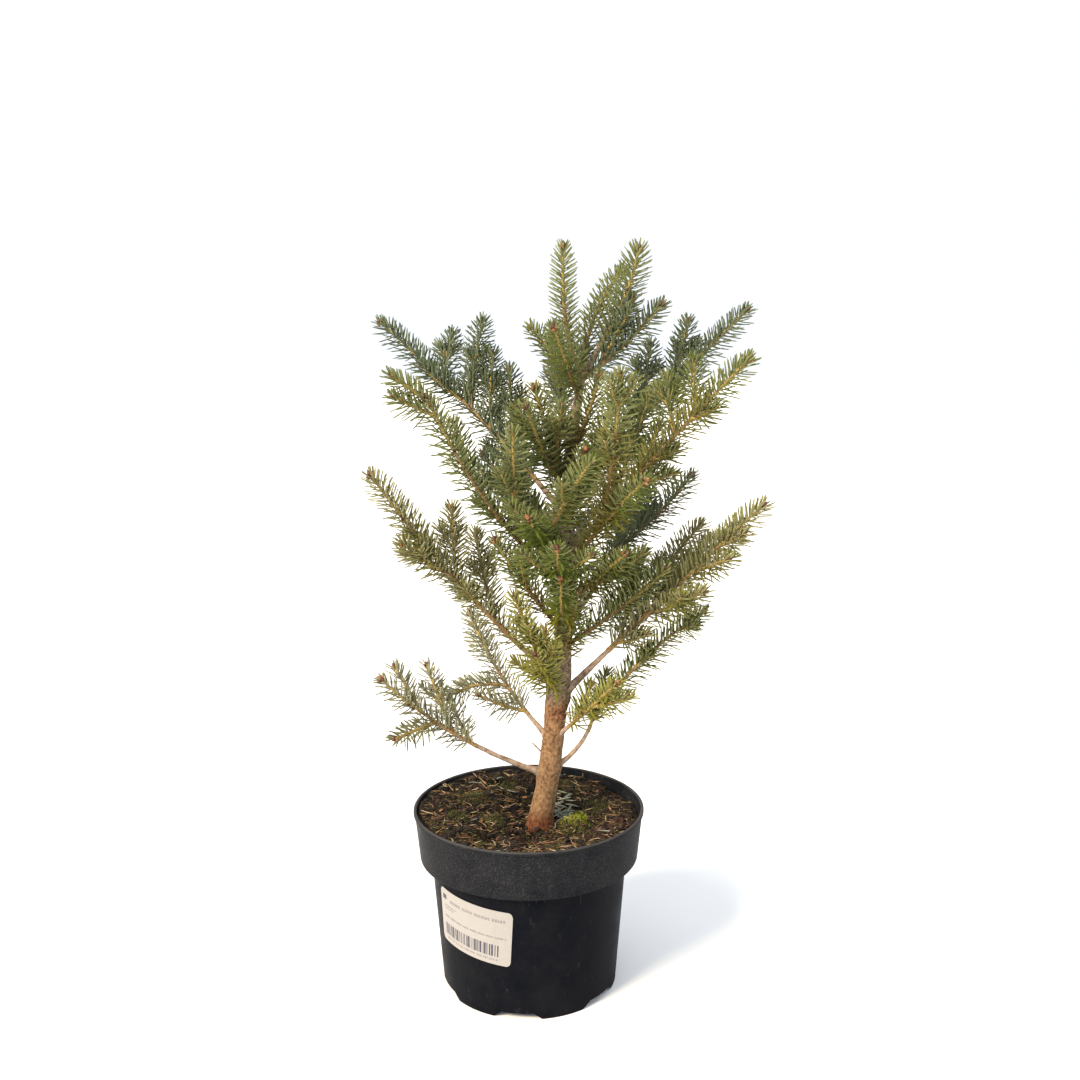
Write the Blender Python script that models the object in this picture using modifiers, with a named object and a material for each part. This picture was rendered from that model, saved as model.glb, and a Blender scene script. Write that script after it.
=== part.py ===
"""A potted Korean fir: nursery pot, soil, label, trunk, boughs and masses of needle sprays.

Metres, +Z up. The pot stands on z = 0, centred on the Z axis, with its front towards -Y.
"""

import math
import random
from collections import namedtuple

import bmesh
import bpy
import numpy as np
from mathutils import Matrix, Vector

SEED = 7
GAP = 0.0003  # what touching pieces keep between them

# Pot
POT_SIDES = 40
POT_HEIGHT = 0.150
RIM_RADIUS = 0.095
LIP_HEIGHT = 0.003
LIP_DEPTH = 0.0008
COLLAR_FOOT = 0.109
COLLAR_FOOT_RADIUS = 0.0900
BODY_TOP_RADIUS = 0.0808
FOOT_RADIUS = 0.0722
WALL = 0.0018
FOOT_RING = 0.008
PAN_RADIUS = 0.0420  # the middle of the floor, which stands on the ground
PAN_TOP = 0.002
CHANNEL_UNDER = 0.006  # the raised floor round it, which the drain holes go through
CHANNEL_TOP = 0.008
NOTCHES = 6
NOTCH_LENGTH = 0.024  # along the radius
NOTCH_HEIGHT = 0.0054
NOTCH_TOP_WIDTH = 0.026
NOTCH_FOOT_WIDTH = 0.040
NOTCH_FIRST = -97.5
DRAIN_RADIUS = 0.0055
DRAIN_RING = 0.0535
SOIL_TOP = 0.133
BANK_RISE = 0.014
BANK_START = 0.018
BANK_REACH = 0.055
BANK_AZIMUTH = 150.0
SOIL_RINGS = (0.22, 0.32, 0.46, 0.62, 0.80)

# Label on the pot's body
LABEL_WIDTH = 0.072
LABEL_HEIGHT = 0.047
LABEL_CORNER = 0.004
LABEL_THICK = 0.0004
LABEL_AZIMUTH = -126.0
LABEL_CENTRE_Z = 0.0724
LABEL_TILT = 4.0

# Trunk: how far right of the axis its middle is, and its radius, at each height
TRUNK = (
    # height, x, radius
    (0.1333, 0.0092, 0.0112),
    (0.1400, 0.0100, 0.0101),
    (0.1680, 0.0155, 0.0092),
    (0.1830, 0.0176, 0.0095),
    (0.2060, 0.0205, 0.0083),
    (0.2300, 0.0225, 0.0092),
    (0.2530, 0.0255, 0.0101),
    (0.2800, 0.0283, 0.0077),
    (0.3230, 0.0318, 0.0066),
    (0.3800, 0.0320, 0.0056),
    (0.4400, 0.0350, 0.0045),
    (0.4970, 0.0430, 0.0035),
    (0.5220, 0.0570, 0.0024),
)
TRUNK_STEP = 0.018

# Boughs and shoots
PATH_STEP = 0.008
TWIG_RADIUS = 0.0015
CORE_RADIUS = 0.0034
CORE_TIP_RADIUS = 0.0024
TIP_RADIUS = 0.0008
TIP_LENGTH = 0.006
CORE_SHOULDER = 0.009
NEEDLE_LENGTH = 0.0150
NEEDLE_BASE = 0.0036  # how much of the shoot's length a needle stands on
NEEDLE_PITCH = 0.0138  # from one whorl of three needles to the next
NEEDLE_TURN = 40.0  # how far each whorl is turned from the one before
NEEDLE_LEAN = 58.0  # degrees from the shoot's own direction
NEEDLE_TIP_LEAN = 36.0
SPACE_ROOM = 0.0016  # what a needle keeps from the edge of its mass's space
TWIG_ROOM = 0.0055
LIMB_ROOM = 0.0020
SIBLING_ROOM = 0.0060  # what a needle keeps from the middle of its mass's other shoots
BOUGH_STEP = 0.018
LIMB_STEP = 0.003  # between the points that stand for the limbs when room is measured

# Small twigs that the seeded rule adds in pairs, one pair for each year's growth
YEAR_GROWTH = 0.052
PAIR_SPREAD = 48.0
PAIR_LENGTH = 0.034
PAIR_CLEAR = 0.016  # from where a named side shoot leaves
PAIR_LAST = 0.055  # a stem's newest growth has no pairs yet

Bough = namedtuple("Bough", "height azimuth rise length curl turn bare radius")
Side = namedtuple("Side", "share azimuth rise length curl turn")

# A bough leaves the trunk at a height. Azimuth 0 is +X and 90 is +Y, rise is above level, and curl and turn are
# how far rise and azimuth change on the way to its tip. The bare length is wood without needles.
BOUGHS = {
    "low_left": Bough(0.176, 195, 22, 0.167, 25, 3, 0.068, 0.0026),
    "second_left": Bough(0.204, 144, 34, 0.135, 22, -12, 0.030, 0.0024),
    "left": Bough(0.255, 195, 44, 0.232, 11, 9, 0.045, 0.0038),
    "right": Bough(0.240, 350, 46, 0.231, -1, -7, 0.060, 0.0036),
    "low_right": Bough(0.180, 4, 26, 0.070, 58, 0, 0.051, 0.0020),
    "low_front": Bough(0.206, 323, 42, 0.089, 2, -8, 0.020, 0.0021),
    "front_low": Bough(0.244, 245, 43, 0.064, 5, 3, 0.0, 0.0),
    "centre_left": Bough(0.297, 220, 44, 0.114, 9, 11, 0.022, 0.0026),
    "front_right": Bough(0.319, 312, 37, 0.086, 0, -4, 0.0, 0.0),
    "front": Bough(0.344, 300, 46, 0.138, -14, 2, 0.024, 0.0026),
    "upper_right": Bough(0.358, 331, 49, 0.216, -4, 4, 0.035, 0.0034),
    "mid_right": Bough(0.340, 31, 18, 0.148, 27, -1, 0.035, 0.0028),
    "bright_front": Bough(0.362, 250, 16, 0.110, 14, 6, 0.022, 0.0026),
    "upper_left": Bough(0.332, 207, 42, 0.204, 18, 21, 0.030, 0.0032),
    "back_left": Bough(0.390, 138, 41, 0.239, -1, 24, 0.042, 0.0034),
    "back_right": Bough(0.402, 46, 38, 0.229, 7, -42, 0.040, 0.0032),
    "inner_right": Bough(0.392, 12, 50, 0.060, 10, -8, 0.0, 0.0),
    "whorl_left": Bough(0.490, 140, 46, 0.068, 2, 12, 0.0, 0.0),
    "whorl_front": Bough(0.486, 252, 40, 0.079, 4, -4, 0.0, 0.0),
    "whorl_right": Bough(0.498, 352, 36, 0.086, 14, 10, 0.0, 0.0),
    "top_left": Bough(0.500, 205, 62, 0.104, 24, 80, 0.0, 0.0),
    "top_back": Bough(0.500, 84, 66, 0.104, -20, -62, 0.0, 0.0),
    "leader": Bough(0.5222, 0, 57, 0.083, 22, 0, 0.0, 0.0),
    "back_low": Bough(0.268, 84, 36, 0.205, 22, 14, 0.050, 0.0032),
    "back_low_right": Bough(0.300, 50, 30, 0.190, 26, 6, 0.050, 0.0030),
    "back_mid": Bough(0.326, 120, 32, 0.205, 26, -12, 0.045, 0.0030),
    "front_mid": Bough(0.330, 262, 18, 0.115, 20, 6, 0.028, 0.0026),
    "inner_left": Bough(0.418, 218, 60, 0.084, 12, 0, 0.0, 0.0),
    "inner_front": Bough(0.436, 303, 54, 0.078, 10, 0, 0.0, 0.0),
    "back_high": Bough(0.428, 92, 36, 0.160, 20, 8, 0.032, 0.0026),
    "mid_low_right": Bough(0.284, 338, 34, 0.112, 10, 4, 0.0, 0.0),
    "low_centre": Bough(0.276, 288, 54, 0.070, 14, 10, 0.0, 0.0),
    "mid_centre": Bough(0.306, 262, 22, 0.088, 24, 10, 0.0, 0.0),
    "crown_front": Bough(0.384, 278, 38, 0.094, 14, 6, 0.0, 0.0),
    "crown_left": Bough(0.408, 232, 44, 0.094, 16, 8, 0.0, 0.0),
    "crown_right": Bough(0.400, 316, 55, 0.104, 8, -8, 0.0, 0.0),
    "crown_back": Bough(0.372, 160, 34, 0.098, 20, 6, 0.0, 0.0),
}

# The side shoots of a bough, each leaving it at a share of its length
SIDES = {
    "low_left": (
        Side(0.54, 127, 46, 0.064, 5, -4),
        Side(0.65, 229, -4, 0.047, 4, 7),
        Side(0.44, 122, 34, 0.046, 7, 2),
        Side(0.73, 142, 46, 0.045, 8, 7),
    ),
    "second_left": (
        Side(0.46, 168, 10, 0.060, -48, 26),
        Side(0.26, 196, 16, 0.044, 14, -4),
        Side(0.68, 110, 20, 0.045, 20, 8),
    ),
    "left": (
        Side(0.55, 211, 29, 0.056, 12, 10),
        Side(0.52, 118, 62, 0.062, 14, -30),
        Side(0.32, 124, 57, 0.080, 1, -18),
    ),
    "right": (
        Side(0.38, 62, 41, 0.112, 2, -42),
        Side(0.48, 40, 34, 0.076, 20, -24),
        Side(0.30, 330, 12, 0.030, 20, 0),
        Side(0.31, 50, 56, 0.050, 8, 0),
        Side(0.80, 334, 20, 0.022, 16, 0),
        Side(0.45, 316, 20, 0.060, 11, 5),
        Side(0.66, 312, 24, 0.042, 0, 8),
        Side(0.72, 30, 34, 0.036, 10, 0),
    ),
    "low_right": (
        Side(0.80, 348, 59, 0.131, -27, 16),
        Side(0.84, 70, 40, 0.044, 10, -10),
    ),
    "low_front": (Side(0.60, 345, 10, 0.034, 16, 0), Side(0.34, 20, 60, 0.034, 12, 0)),
    "centre_left": (Side(0.52, 262, 40, 0.045, 10, 0),),
    "front": (Side(0.46, 292, 60, 0.130, 14, -16),),
    "front_low": (
        Side(0.34, 262, 66, 0.050, 10, -10),
        Side(0.26, 214, 64, 0.086, 4, 0),
        Side(0.36, 190, 26, 0.034, 12, 0),
    ),
    "upper_right": (
        Side(0.74, 108, 62, 0.042, 11, -36),
        Side(0.42, 15, 60, 0.044, 10, 10),
        Side(0.70, 322, 18, 0.027, 18, 0),
        Side(0.40, 326, 2, 0.036, 20, 0),
        Side(0.50, 330, 14, 0.024, 26, 0),
        Side(0.24, 18, 64, 0.098, 8, 0),
        Side(0.62, 100, 62, 0.050, 8, 0),
    ),
    "mid_right": (Side(0.55, 75, 30, 0.045, 16, 0),),
    "bright_front": (
        Side(0.46, 292, 54, 0.085, -6, 30),
        Side(0.66, 214, 34, 0.036, 20, 0),
        Side(0.34, 200, 62, 0.042, 10, 0),
    ),
    "upper_left": (
        Side(0.30, 262, 54, 0.100, 20, 10),
        Side(0.97, 194, 41, 0.036, -8, 0),
        Side(0.92, 190, 22, 0.035, 8, 6),
        Side(0.63, 126, 55, 0.050, 8, 0),
    ),
    "back_left": (
        Side(0.53, 90, 62, 0.086, -4, -24),
        Side(0.67, 100, 46, 0.055, 7, -36),
        Side(0.30, 98, 61, 0.080, 0, -4),
        Side(0.58, 196, 34, 0.046, 14, 0),
        Side(0.57, 60, 56, 0.034, 8, 0),
        Side(0.43, 92, 62, 0.070, 4, -10),
    ),
    "back_right": (
        Side(0.58, 54, 46, 0.070, 21, 10),
        Side(0.44, 80, 60, 0.070, -2, -12),
        Side(0.28, 24, 66, 0.056, -10, -8),
    ),
    "back_low": (Side(0.46, 128, 36, 0.060, 14, -8), Side(0.54, 44, 34, 0.058, 14, 8)),
    "back_low_right": (Side(0.50, 92, 32, 0.055, 14, -8), Side(0.58, 14, 30, 0.034, 14, 8)),
    "back_mid": (Side(0.48, 164, 34, 0.060, 14, -8), Side(0.56, 80, 36, 0.055, 14, 8)),
    "front_mid": (Side(0.50, 222, 24, 0.045, 14, 0), Side(0.58, 306, 20, 0.045, 14, 0)),
    "back_high": (Side(0.40, 112, 40, 0.046, 14, 0), Side(0.55, 48, 40, 0.046, 14, 0)),
    "front_right": (Side(0.30, 334, 26, 0.062, 16, 0),),
    "mid_low_right": (Side(0.40, 30, 50, 0.062, 10, -10),),
    "crown_front": (Side(0.34, 346, 64, 0.060, 8, 0),),
    "crown_left": (Side(0.34, 196, 54, 0.056, 12, 0), Side(0.30, 288, 68, 0.056, 4, 0)),
    "whorl_right": (Side(0.22, 346, 62, 0.058, 4, 10),),
}

Material = namedtuple("Material", "color roughness")
MATERIALS = {
    "pot": Material((0.020, 0.022, 0.026), 0.48),
    "soil": Material((0.060, 0.040, 0.026), 0.95),
    "label": Material((0.82, 0.80, 0.74), 0.55),
    "bark": Material((0.30, 0.19, 0.11), 0.90),
    "needles": Material((0.085, 0.150, 0.060), 0.60),
}


# Scene helpers


def clear_scene():
    for obj in list(bpy.data.objects):
        bpy.data.objects.remove(obj, do_unlink=True)


def new_collection(name):
    collection = bpy.data.collections.new(name)
    bpy.context.scene.collection.children.link(collection)
    return collection


def new_material(name):
    material = bpy.data.materials.new(name)
    material.use_nodes = True
    shader = material.node_tree.nodes["Principled BSDF"]
    color, roughness = MATERIALS[name]
    shader.inputs["Base Color"].default_value = (*color, 1.0)
    shader.inputs["Roughness"].default_value = roughness
    shader.inputs["Metallic"].default_value = 0.0
    material.diffuse_color = (*color, 1.0)
    return material


def add_object(name, data, collection, material=None):
    obj = bpy.data.objects.new(name, data)
    collection.objects.link(obj)
    if material:
        obj.data.materials.append(material)
    return obj


def mesh_of(name, bm):
    mesh = bpy.data.meshes.new(name)
    bm.to_mesh(mesh)
    bm.free()
    return mesh


def evaluated_mesh(obj):
    """The object's mesh with its modifiers applied, and the caps of a curve welded on."""
    graph = bpy.context.evaluated_depsgraph_get()
    mesh = bpy.data.meshes.new_from_object(obj.evaluated_get(graph))
    bm = bmesh.new()
    bm.from_mesh(mesh)
    bmesh.ops.remove_doubles(bm, verts=bm.verts, dist=1e-6)
    bm.to_mesh(mesh)
    bm.free()
    return mesh


def add_boolean(obj, cutter):
    modifier = obj.modifiers.new("cut", "BOOLEAN")
    modifier.operation = "DIFFERENCE"
    modifier.solver = "MANIFOLD"
    modifier.object = cutter
    return modifier


def turned(name, profile, collection, material=None):
    """A closed profile of (radius, z) turned round the Z axis."""
    bm = bmesh.new()
    verts = [bm.verts.new((radius, 0.0, z)) for radius, z in profile]
    for start, end in zip(verts, verts[1:] + verts[:1]):
        if start.co.x > 0.0 or end.co.x > 0.0:
            bm.edges.new((start, end))
    obj = add_object(name, mesh_of(name, bm), collection, material)
    screw = obj.modifiers.new("turn", "SCREW")
    screw.steps = POT_SIDES
    screw.render_steps = POT_SIDES
    screw.use_merge_vertices = True
    screw.merge_threshold = 1e-5
    screw.use_normal_calculate = True
    screw.use_normal_flip = True
    return obj


# Pot, soil and label


def body_radius(z):
    """The pot body's outer radius below its collar."""
    return FOOT_RADIUS + (BODY_TOP_RADIUS - FOOT_RADIUS) * z / COLLAR_FOOT


def collar_radius(z):
    return COLLAR_FOOT_RADIUS + (RIM_RADIUS - LIP_DEPTH - COLLAR_FOOT_RADIUS) * (z - COLLAR_FOOT) / (
        POT_HEIGHT - COLLAR_FOOT
    )


def pot_profile():
    lip = POT_HEIGHT - LIP_HEIGHT
    step = COLLAR_FOOT + WALL
    return [
        (FOOT_RADIUS, 0.0),
        (BODY_TOP_RADIUS, COLLAR_FOOT),
        (COLLAR_FOOT_RADIUS, COLLAR_FOOT),
        (collar_radius(lip), lip),
        (RIM_RADIUS, lip),
        (RIM_RADIUS, POT_HEIGHT),
        (collar_radius(POT_HEIGHT) - WALL, POT_HEIGHT),
        (collar_radius(step) - WALL, step),
        (body_radius(step) - WALL, step),
        (body_radius(CHANNEL_TOP) - WALL, CHANNEL_TOP),
        (PAN_RADIUS - WALL, CHANNEL_TOP),
        (PAN_RADIUS - WALL, PAN_TOP),
        (0.0, PAN_TOP),
        (0.0, 0.0),
        (PAN_RADIUS, 0.0),
        (PAN_RADIUS, CHANNEL_UNDER),
        (FOOT_RADIUS - FOOT_RING, CHANNEL_UNDER),
        (FOOT_RADIUS - FOOT_RING, 0.0),
    ]


def soil_bank(x, y):
    """How much higher than the trunk's foot the soil lies, banked up towards the pot's back left wall."""
    away = (math.hypot(x - TRUNK[0][1], y) - BANK_START) / BANK_REACH
    share = min(1.0, max(0.0, away))
    turn = math.atan2(y, x) - math.radians(BANK_AZIMUTH)
    return BANK_RISE * share * share * (3.0 - 2.0 * share) * (0.7 + 0.3 * math.cos(turn))


def make_soil(collection, material):
    """The root ball: the pot's inner shape below, and a top that is banked up towards the wall."""
    wall = WALL + GAP
    bottom = CHANNEL_TOP + GAP
    step = COLLAR_FOOT + WALL + GAP
    below = (
        (PAN_RADIUS - wall, PAN_TOP + GAP),
        (PAN_RADIUS - wall, bottom),
        (body_radius(bottom) - wall, bottom),
        (body_radius(step) - wall, step),
        (collar_radius(step) - wall, step),
    )
    bm = bmesh.new()
    foot = bm.verts.new((0.0, 0.0, PAN_TOP + GAP))
    columns = []
    for index in range(POT_SIDES):
        angle = 2.0 * math.pi * index / POT_SIDES
        x = math.cos(angle)
        y = math.sin(angle)
        brim = SOIL_TOP + soil_bank(RIM_RADIUS * x, RIM_RADIUS * y)
        edge = collar_radius(brim) - wall
        column = [(radius * x, radius * y, z) for radius, z in below]
        column.append((edge * x, edge * y, brim))
        for share in reversed(SOIL_RINGS):
            place = (share * edge * x, share * edge * y)
            column.append((*place, SOIL_TOP + soil_bank(*place)))
        columns.append([bm.verts.new(co) for co in column])
    middle = bm.verts.new((0.0, 0.0, SOIL_TOP))
    for column, after in zip(columns, columns[1:] + columns[:1]):
        bm.faces.new((foot, after[0], column[0]))
        for row in range(len(column) - 1):
            bm.faces.new((column[row], after[row], after[row + 1], column[row + 1]))
        bm.faces.new((middle, column[-1], after[-1]))
    bmesh.ops.triangulate(bm, faces=bm.faces)
    bmesh.ops.recalc_face_normals(bm, faces=bm.faces)
    add_object("soil", mesh_of("soil", bm), collection, material)



def notch_cutter(index, collection):
    """A gap with sloping ends in the foot ring, and the drain hole inside it."""
    angle = math.radians(NOTCH_FIRST + index * 360.0 / NOTCHES)
    bm = bmesh.new()
    bmesh.ops.create_cube(bm, size=1.0)
    for vert in bm.verts:
        width = NOTCH_TOP_WIDTH if vert.co.z > 0 else 2 * NOTCH_FOOT_WIDTH - NOTCH_TOP_WIDTH
        vert.co.x = FOOT_RADIUS + vert.co.x * NOTCH_LENGTH
        vert.co.y *= width
        vert.co.z *= 2.0 * NOTCH_HEIGHT
    obj = add_object(f"notch_{index}", mesh_of("notch", bm), collection)
    obj.rotation_euler.z = angle
    obj.hide_render = True
    bm = bmesh.new()
    bmesh.ops.create_cone(
        bm, cap_ends=True, segments=12, radius1=DRAIN_RADIUS, radius2=DRAIN_RADIUS, depth=4.0 * CHANNEL_TOP
    )
    bmesh.ops.translate(bm, vec=(DRAIN_RING, 0.0, 0.0), verts=bm.verts)
    drain = add_object(f"drain_{index}", mesh_of("drain", bm), collection)
    drain.rotation_euler.z = angle
    drain.hide_render = True
    return obj, drain


def make_pot(collection, cutters, material):
    pot = turned("pot", pot_profile(), collection, material)
    for index in range(NOTCHES):
        for cutter in notch_cutter(index, cutters):
            add_boolean(pot, cutter)


def rounded_outline(width, height, corner, arc_points=4):
    """The outline of a flat sheet with round corners, anticlockwise round its middle."""
    outline = []
    for right, top, first in ((1, 1, 0), (-1, 1, 90), (-1, -1, 180), (1, -1, 270)):
        for step in range(arc_points):
            angle = math.radians(first + 90.0 * step / (arc_points - 1))
            x = right * (width / 2 - corner) + corner * math.cos(angle)
            z = top * (height / 2 - corner) + corner * math.sin(angle)
            outline.append((x, z))
    return outline


def make_label(collection, material):
    """A thin sheet bent round the pot's body, a gap clear of it."""
    bm = bmesh.new()
    outline = [bm.verts.new((x, 0.0, z)) for x, z in rounded_outline(LABEL_WIDTH, LABEL_HEIGHT, LABEL_CORNER)]
    bm.faces.new(outline)
    strips = 12
    for strip in range(1, strips):
        x = LABEL_WIDTH * (strip / strips - 0.5)
        geometry = bm.verts[:] + bm.edges[:] + bm.faces[:]
        bmesh.ops.bisect_plane(bm, geom=geometry, plane_co=(x, 0, 0), plane_no=(1, 0, 0))
    bmesh.ops.triangulate(bm, faces=bm.faces)
    tilt = Matrix.Rotation(math.radians(LABEL_TILT), 4, "Y")
    bmesh.ops.transform(bm, matrix=tilt, verts=bm.verts)
    for vert in bm.verts:
        z = LABEL_CENTRE_Z + vert.co.z
        radius = body_radius(z) + GAP
        angle = math.radians(LABEL_AZIMUTH) + vert.co.x / body_radius(LABEL_CENTRE_Z)
        vert.co = (radius * math.cos(angle), radius * math.sin(angle), z)
    label = add_object("label", mesh_of("label", bm), collection, material)
    solidify = label.modifiers.new("thickness", "SOLIDIFY")
    solidify.thickness = LABEL_THICK
    solidify.offset = 1.0
    label_faces_out(label)


def label_faces_out(label):
    """Turns the sheet's faces outward, so that its thickness grows away from the pot."""
    bm = bmesh.new()
    bm.from_mesh(label.data)
    for face in bm.faces:
        if face.normal.dot(face.calc_center_median() * Vector((1, 1, 0))) < 0:
            face.normal_flip()
    bm.to_mesh(label.data)
    bm.free()


# Limbs: paths, tubes and the space that each mass keeps to


def heading(azimuth, rise):
    a = math.radians(azimuth)
    r = math.radians(rise)
    return np.array([math.cos(a) * math.cos(r), math.sin(a) * math.cos(r), math.sin(r)])


def limb_path(start, shoot):
    """Points every PATH_STEP or so along a shoot that curls and turns evenly."""
    steps = max(4, round(shoot.length / PATH_STEP))
    points = [np.array(start, float)]
    for index in range(steps):
        share = (index + 0.5) / steps
        ahead = heading(shoot.azimuth + shoot.turn * share, shoot.rise + shoot.curl * share)
        points.append(points[-1] + ahead * shoot.length / steps)
    return np.array(points)


def lengths_along(path):
    return np.concatenate([[0.0], np.cumsum(np.linalg.norm(np.diff(path, axis=0), axis=1))])


def point_along(path, distance):
    lengths = lengths_along(path)
    return np.array([np.interp(distance, lengths, path[:, axis]) for axis in range(3)])


def ahead_along(path, distance):
    ahead = point_along(path, distance + 0.002) - point_along(path, distance - 0.002)
    return ahead / np.linalg.norm(ahead)


def trunk_point(z):
    heights = [station[0] for station in TRUNK]
    return np.array([np.interp(z, heights, [station[1] for station in TRUNK]), 0.0, z])


def trunk_radius(z):
    return float(np.interp(z, [station[0] for station in TRUNK], [station[2] for station in TRUNK]))


def tube(name, path, radii, sides, collection):
    """A closed tapering tube, as a curve with a radius for each of its points, made a mesh."""
    curve = bpy.data.curves.new(name, "CURVE")
    curve.dimensions = "3D"
    curve.bevel_depth = 1.0
    curve.bevel_resolution = sides // 2 - 2
    curve.use_fill_caps = True
    spline = curve.splines.new("POLY")
    spline.points.add(len(path) - 1)
    for point, co, radius in zip(spline.points, path, radii):
        point.co = (*co, 1.0)
        point.radius = radius
    guide = add_object(name, curve, collection)
    mesh = evaluated_mesh(guide)
    bpy.data.objects.remove(guide)
    mesh.name = name
    return mesh


def trunk_path():
    """Points up the trunk, the first two square above each other so that its foot is cut level."""
    low = TRUNK[0][0]
    high = TRUNK[-1][0]
    count = round((high - low) / TRUNK_STEP)
    points = [trunk_point(low + (high - low) * index / count) for index in range(count + 1)]
    points[1] = points[0] + (0.0, 0.0, points[1][2] - low)
    return np.array(points)


def make_trunk(collection, cutters, material):
    """The trunk, and the same shape a gap fatter, which cuts every limb clear of it."""
    path = trunk_path()
    radii = [trunk_radius(co[2]) for co in path]
    add_object("trunk", tube("trunk", path, radii, 12, collection), collection, material)
    ends = path.copy()
    ends[0, 2] -= GAP
    ends[-1] += GAP * ahead_along(path, lengths_along(path)[-1])
    clearance = tube("trunk_clearance", ends, [radius + 1.15 * GAP for radius in radii], 12, cutters)
    cutter = add_object("trunk_clearance", clearance, cutters)
    cutter.hide_render = True
    return cutter


def shoot_paths():
    """Every mass's shoots as paths: its bough first, then its side shoots."""
    shoots = {}
    for name, bough in BOUGHS.items():
        stem = limb_path(trunk_point(bough.height), bough)
        shoots[name] = [stem]
        for side in SIDES.get(name, ()):
            start = point_along(stem, side.share * bough.length)
            shoots[name].append(limb_path(start, side))
    return shoots


class Spaces:
    """The room round the shoots: a mass's space is what lies nearer its own shoots than any other's."""

    def __init__(self, shoots):
        points = []
        owners = []
        for name, paths in shoots.items():
            for path in paths:
                middles = (path[1:] + path[:-1]) / 2
                points.extend([path, middles])
                owners.extend([name] * (len(path) + len(middles)))
        self.points = np.concatenate(points)
        self.owners = np.array(owners)
        self.limb_points = np.array([trunk_point(z) for z in np.arange(SOIL_TOP, TRUNK[-1][0], LIMB_STEP)])
        self.limb_radii = np.array([trunk_radius(co[2]) for co in self.limb_points])
        for name, bough in BOUGHS.items():
            reach = np.arange(0.0, bough.bare, LIMB_STEP)
            if len(reach):
                along = np.array([point_along(shoots[name][0], distance) for distance in reach])
                self.limb_points = np.concatenate([self.limb_points, along])
                self.limb_radii = np.concatenate([self.limb_radii, np.full(len(along), bough.radius)])

    def holds(self, name, samples, room):
        """Whether the samples lie in a mass's space with room to spare, off the limbs and above the pot."""
        samples = np.asarray(samples)
        distances = np.linalg.norm(samples[:, None] - self.points[None], axis=2)
        own = distances[:, self.owners == name].min(axis=1)
        other = distances[:, self.owners != name].min(axis=1)
        limbs = np.linalg.norm(samples[:, None] - self.limb_points[None], axis=2) - self.limb_radii
        clear = ((other - own) / 2 > room).all() and (limbs > LIMB_ROOM).all()
        return bool(clear and (samples[:, 2] > POT_HEIGHT).all())


def year_twigs(name, stem, bare, spaces, chance):
    """Pairs of short twigs at each year's growth of a stem, where they have room and no side shoot leaves."""
    bough = BOUGHS[name]
    taken = [side.share * bough.length for side in SIDES.get(name, ())]
    twigs = []
    distance = bare + YEAR_GROWTH
    while distance < bough.length - PAIR_LAST:
        left = ahead_along(stem, distance)
        azimuth = math.degrees(math.atan2(left[1], left[0]))
        rise = math.degrees(math.asin(left[2]))
        for spread in (-PAIR_SPREAD, PAIR_SPREAD):
            length = PAIR_LENGTH * chance.uniform(0.75, 1.1)
            twig = Side(0.0, azimuth + spread, rise * 0.6 + chance.uniform(-6, 6), length, 14, -spread * 0.3)
            path = limb_path(point_along(stem, distance), twig)
            near = min((abs(distance - place) for place in taken), default=1.0)
            if near > PAIR_CLEAR and spaces.holds(name, path[2:], TWIG_ROOM):
                twigs.append(path)
        distance += YEAR_GROWTH
    return twigs


def triangle_ring(bm, centre, side, up, radius, turn):
    """Three vertices round a point of a shoot."""
    ring = []
    for corner in range(3):
        angle = math.radians(turn + 120.0 * corner)
        ring.append(bm.verts.new(centre + radius * (math.cos(angle) * side + math.sin(angle) * up)))
    return ring


def bridge(bm, low, high, tips=(None, None, None)):
    """The three faces between two rings, each raised to a needle where it has a tip."""
    for corner, tip in enumerate(tips):
        after = (corner + 1) % 3
        square = (low[corner], low[after], high[after], high[corner])
        if tip is None:
            bm.faces.new(square[:3])
            bm.faces.new((square[0], square[2], square[3]))
            continue
        apex = bm.verts.new(tip)
        for start in range(4):
            bm.faces.new((square[start], square[(start + 1) % 4], apex))


def needle_tip(name, low, high, corner, centre, ahead, share, siblings, spaces, chance):
    """Where the needle on one face ends, or None where it would leave its room or touch a limb."""
    after = (corner + 1) % 3
    root = np.array(sum((v.co for v in (low[corner], low[after], high[corner], high[after])), Vector())) / 4
    out = root - centre
    out = out - ahead * out.dot(ahead)
    out = out / np.linalg.norm(out)
    lean = NEEDLE_LEAN + (NEEDLE_TIP_LEAN - NEEDLE_LEAN) * share**2 + chance.uniform(-5.0, 5.0)
    length = NEEDLE_LENGTH * chance.uniform(0.9, 1.08) * (1.0 - 0.3 * share**3)
    direction = math.cos(math.radians(lean)) * ahead + math.sin(math.radians(lean)) * out
    samples = [root + direction * length * part for part in (0.3, 0.65, 1.0)]
    nearest = min(np.linalg.norm(sample - siblings, axis=1).min() for sample in samples)
    clear = nearest > SIBLING_ROOM and spaces.holds(name, samples, SPACE_ROOM)
    return samples[-1] if clear else None


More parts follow.
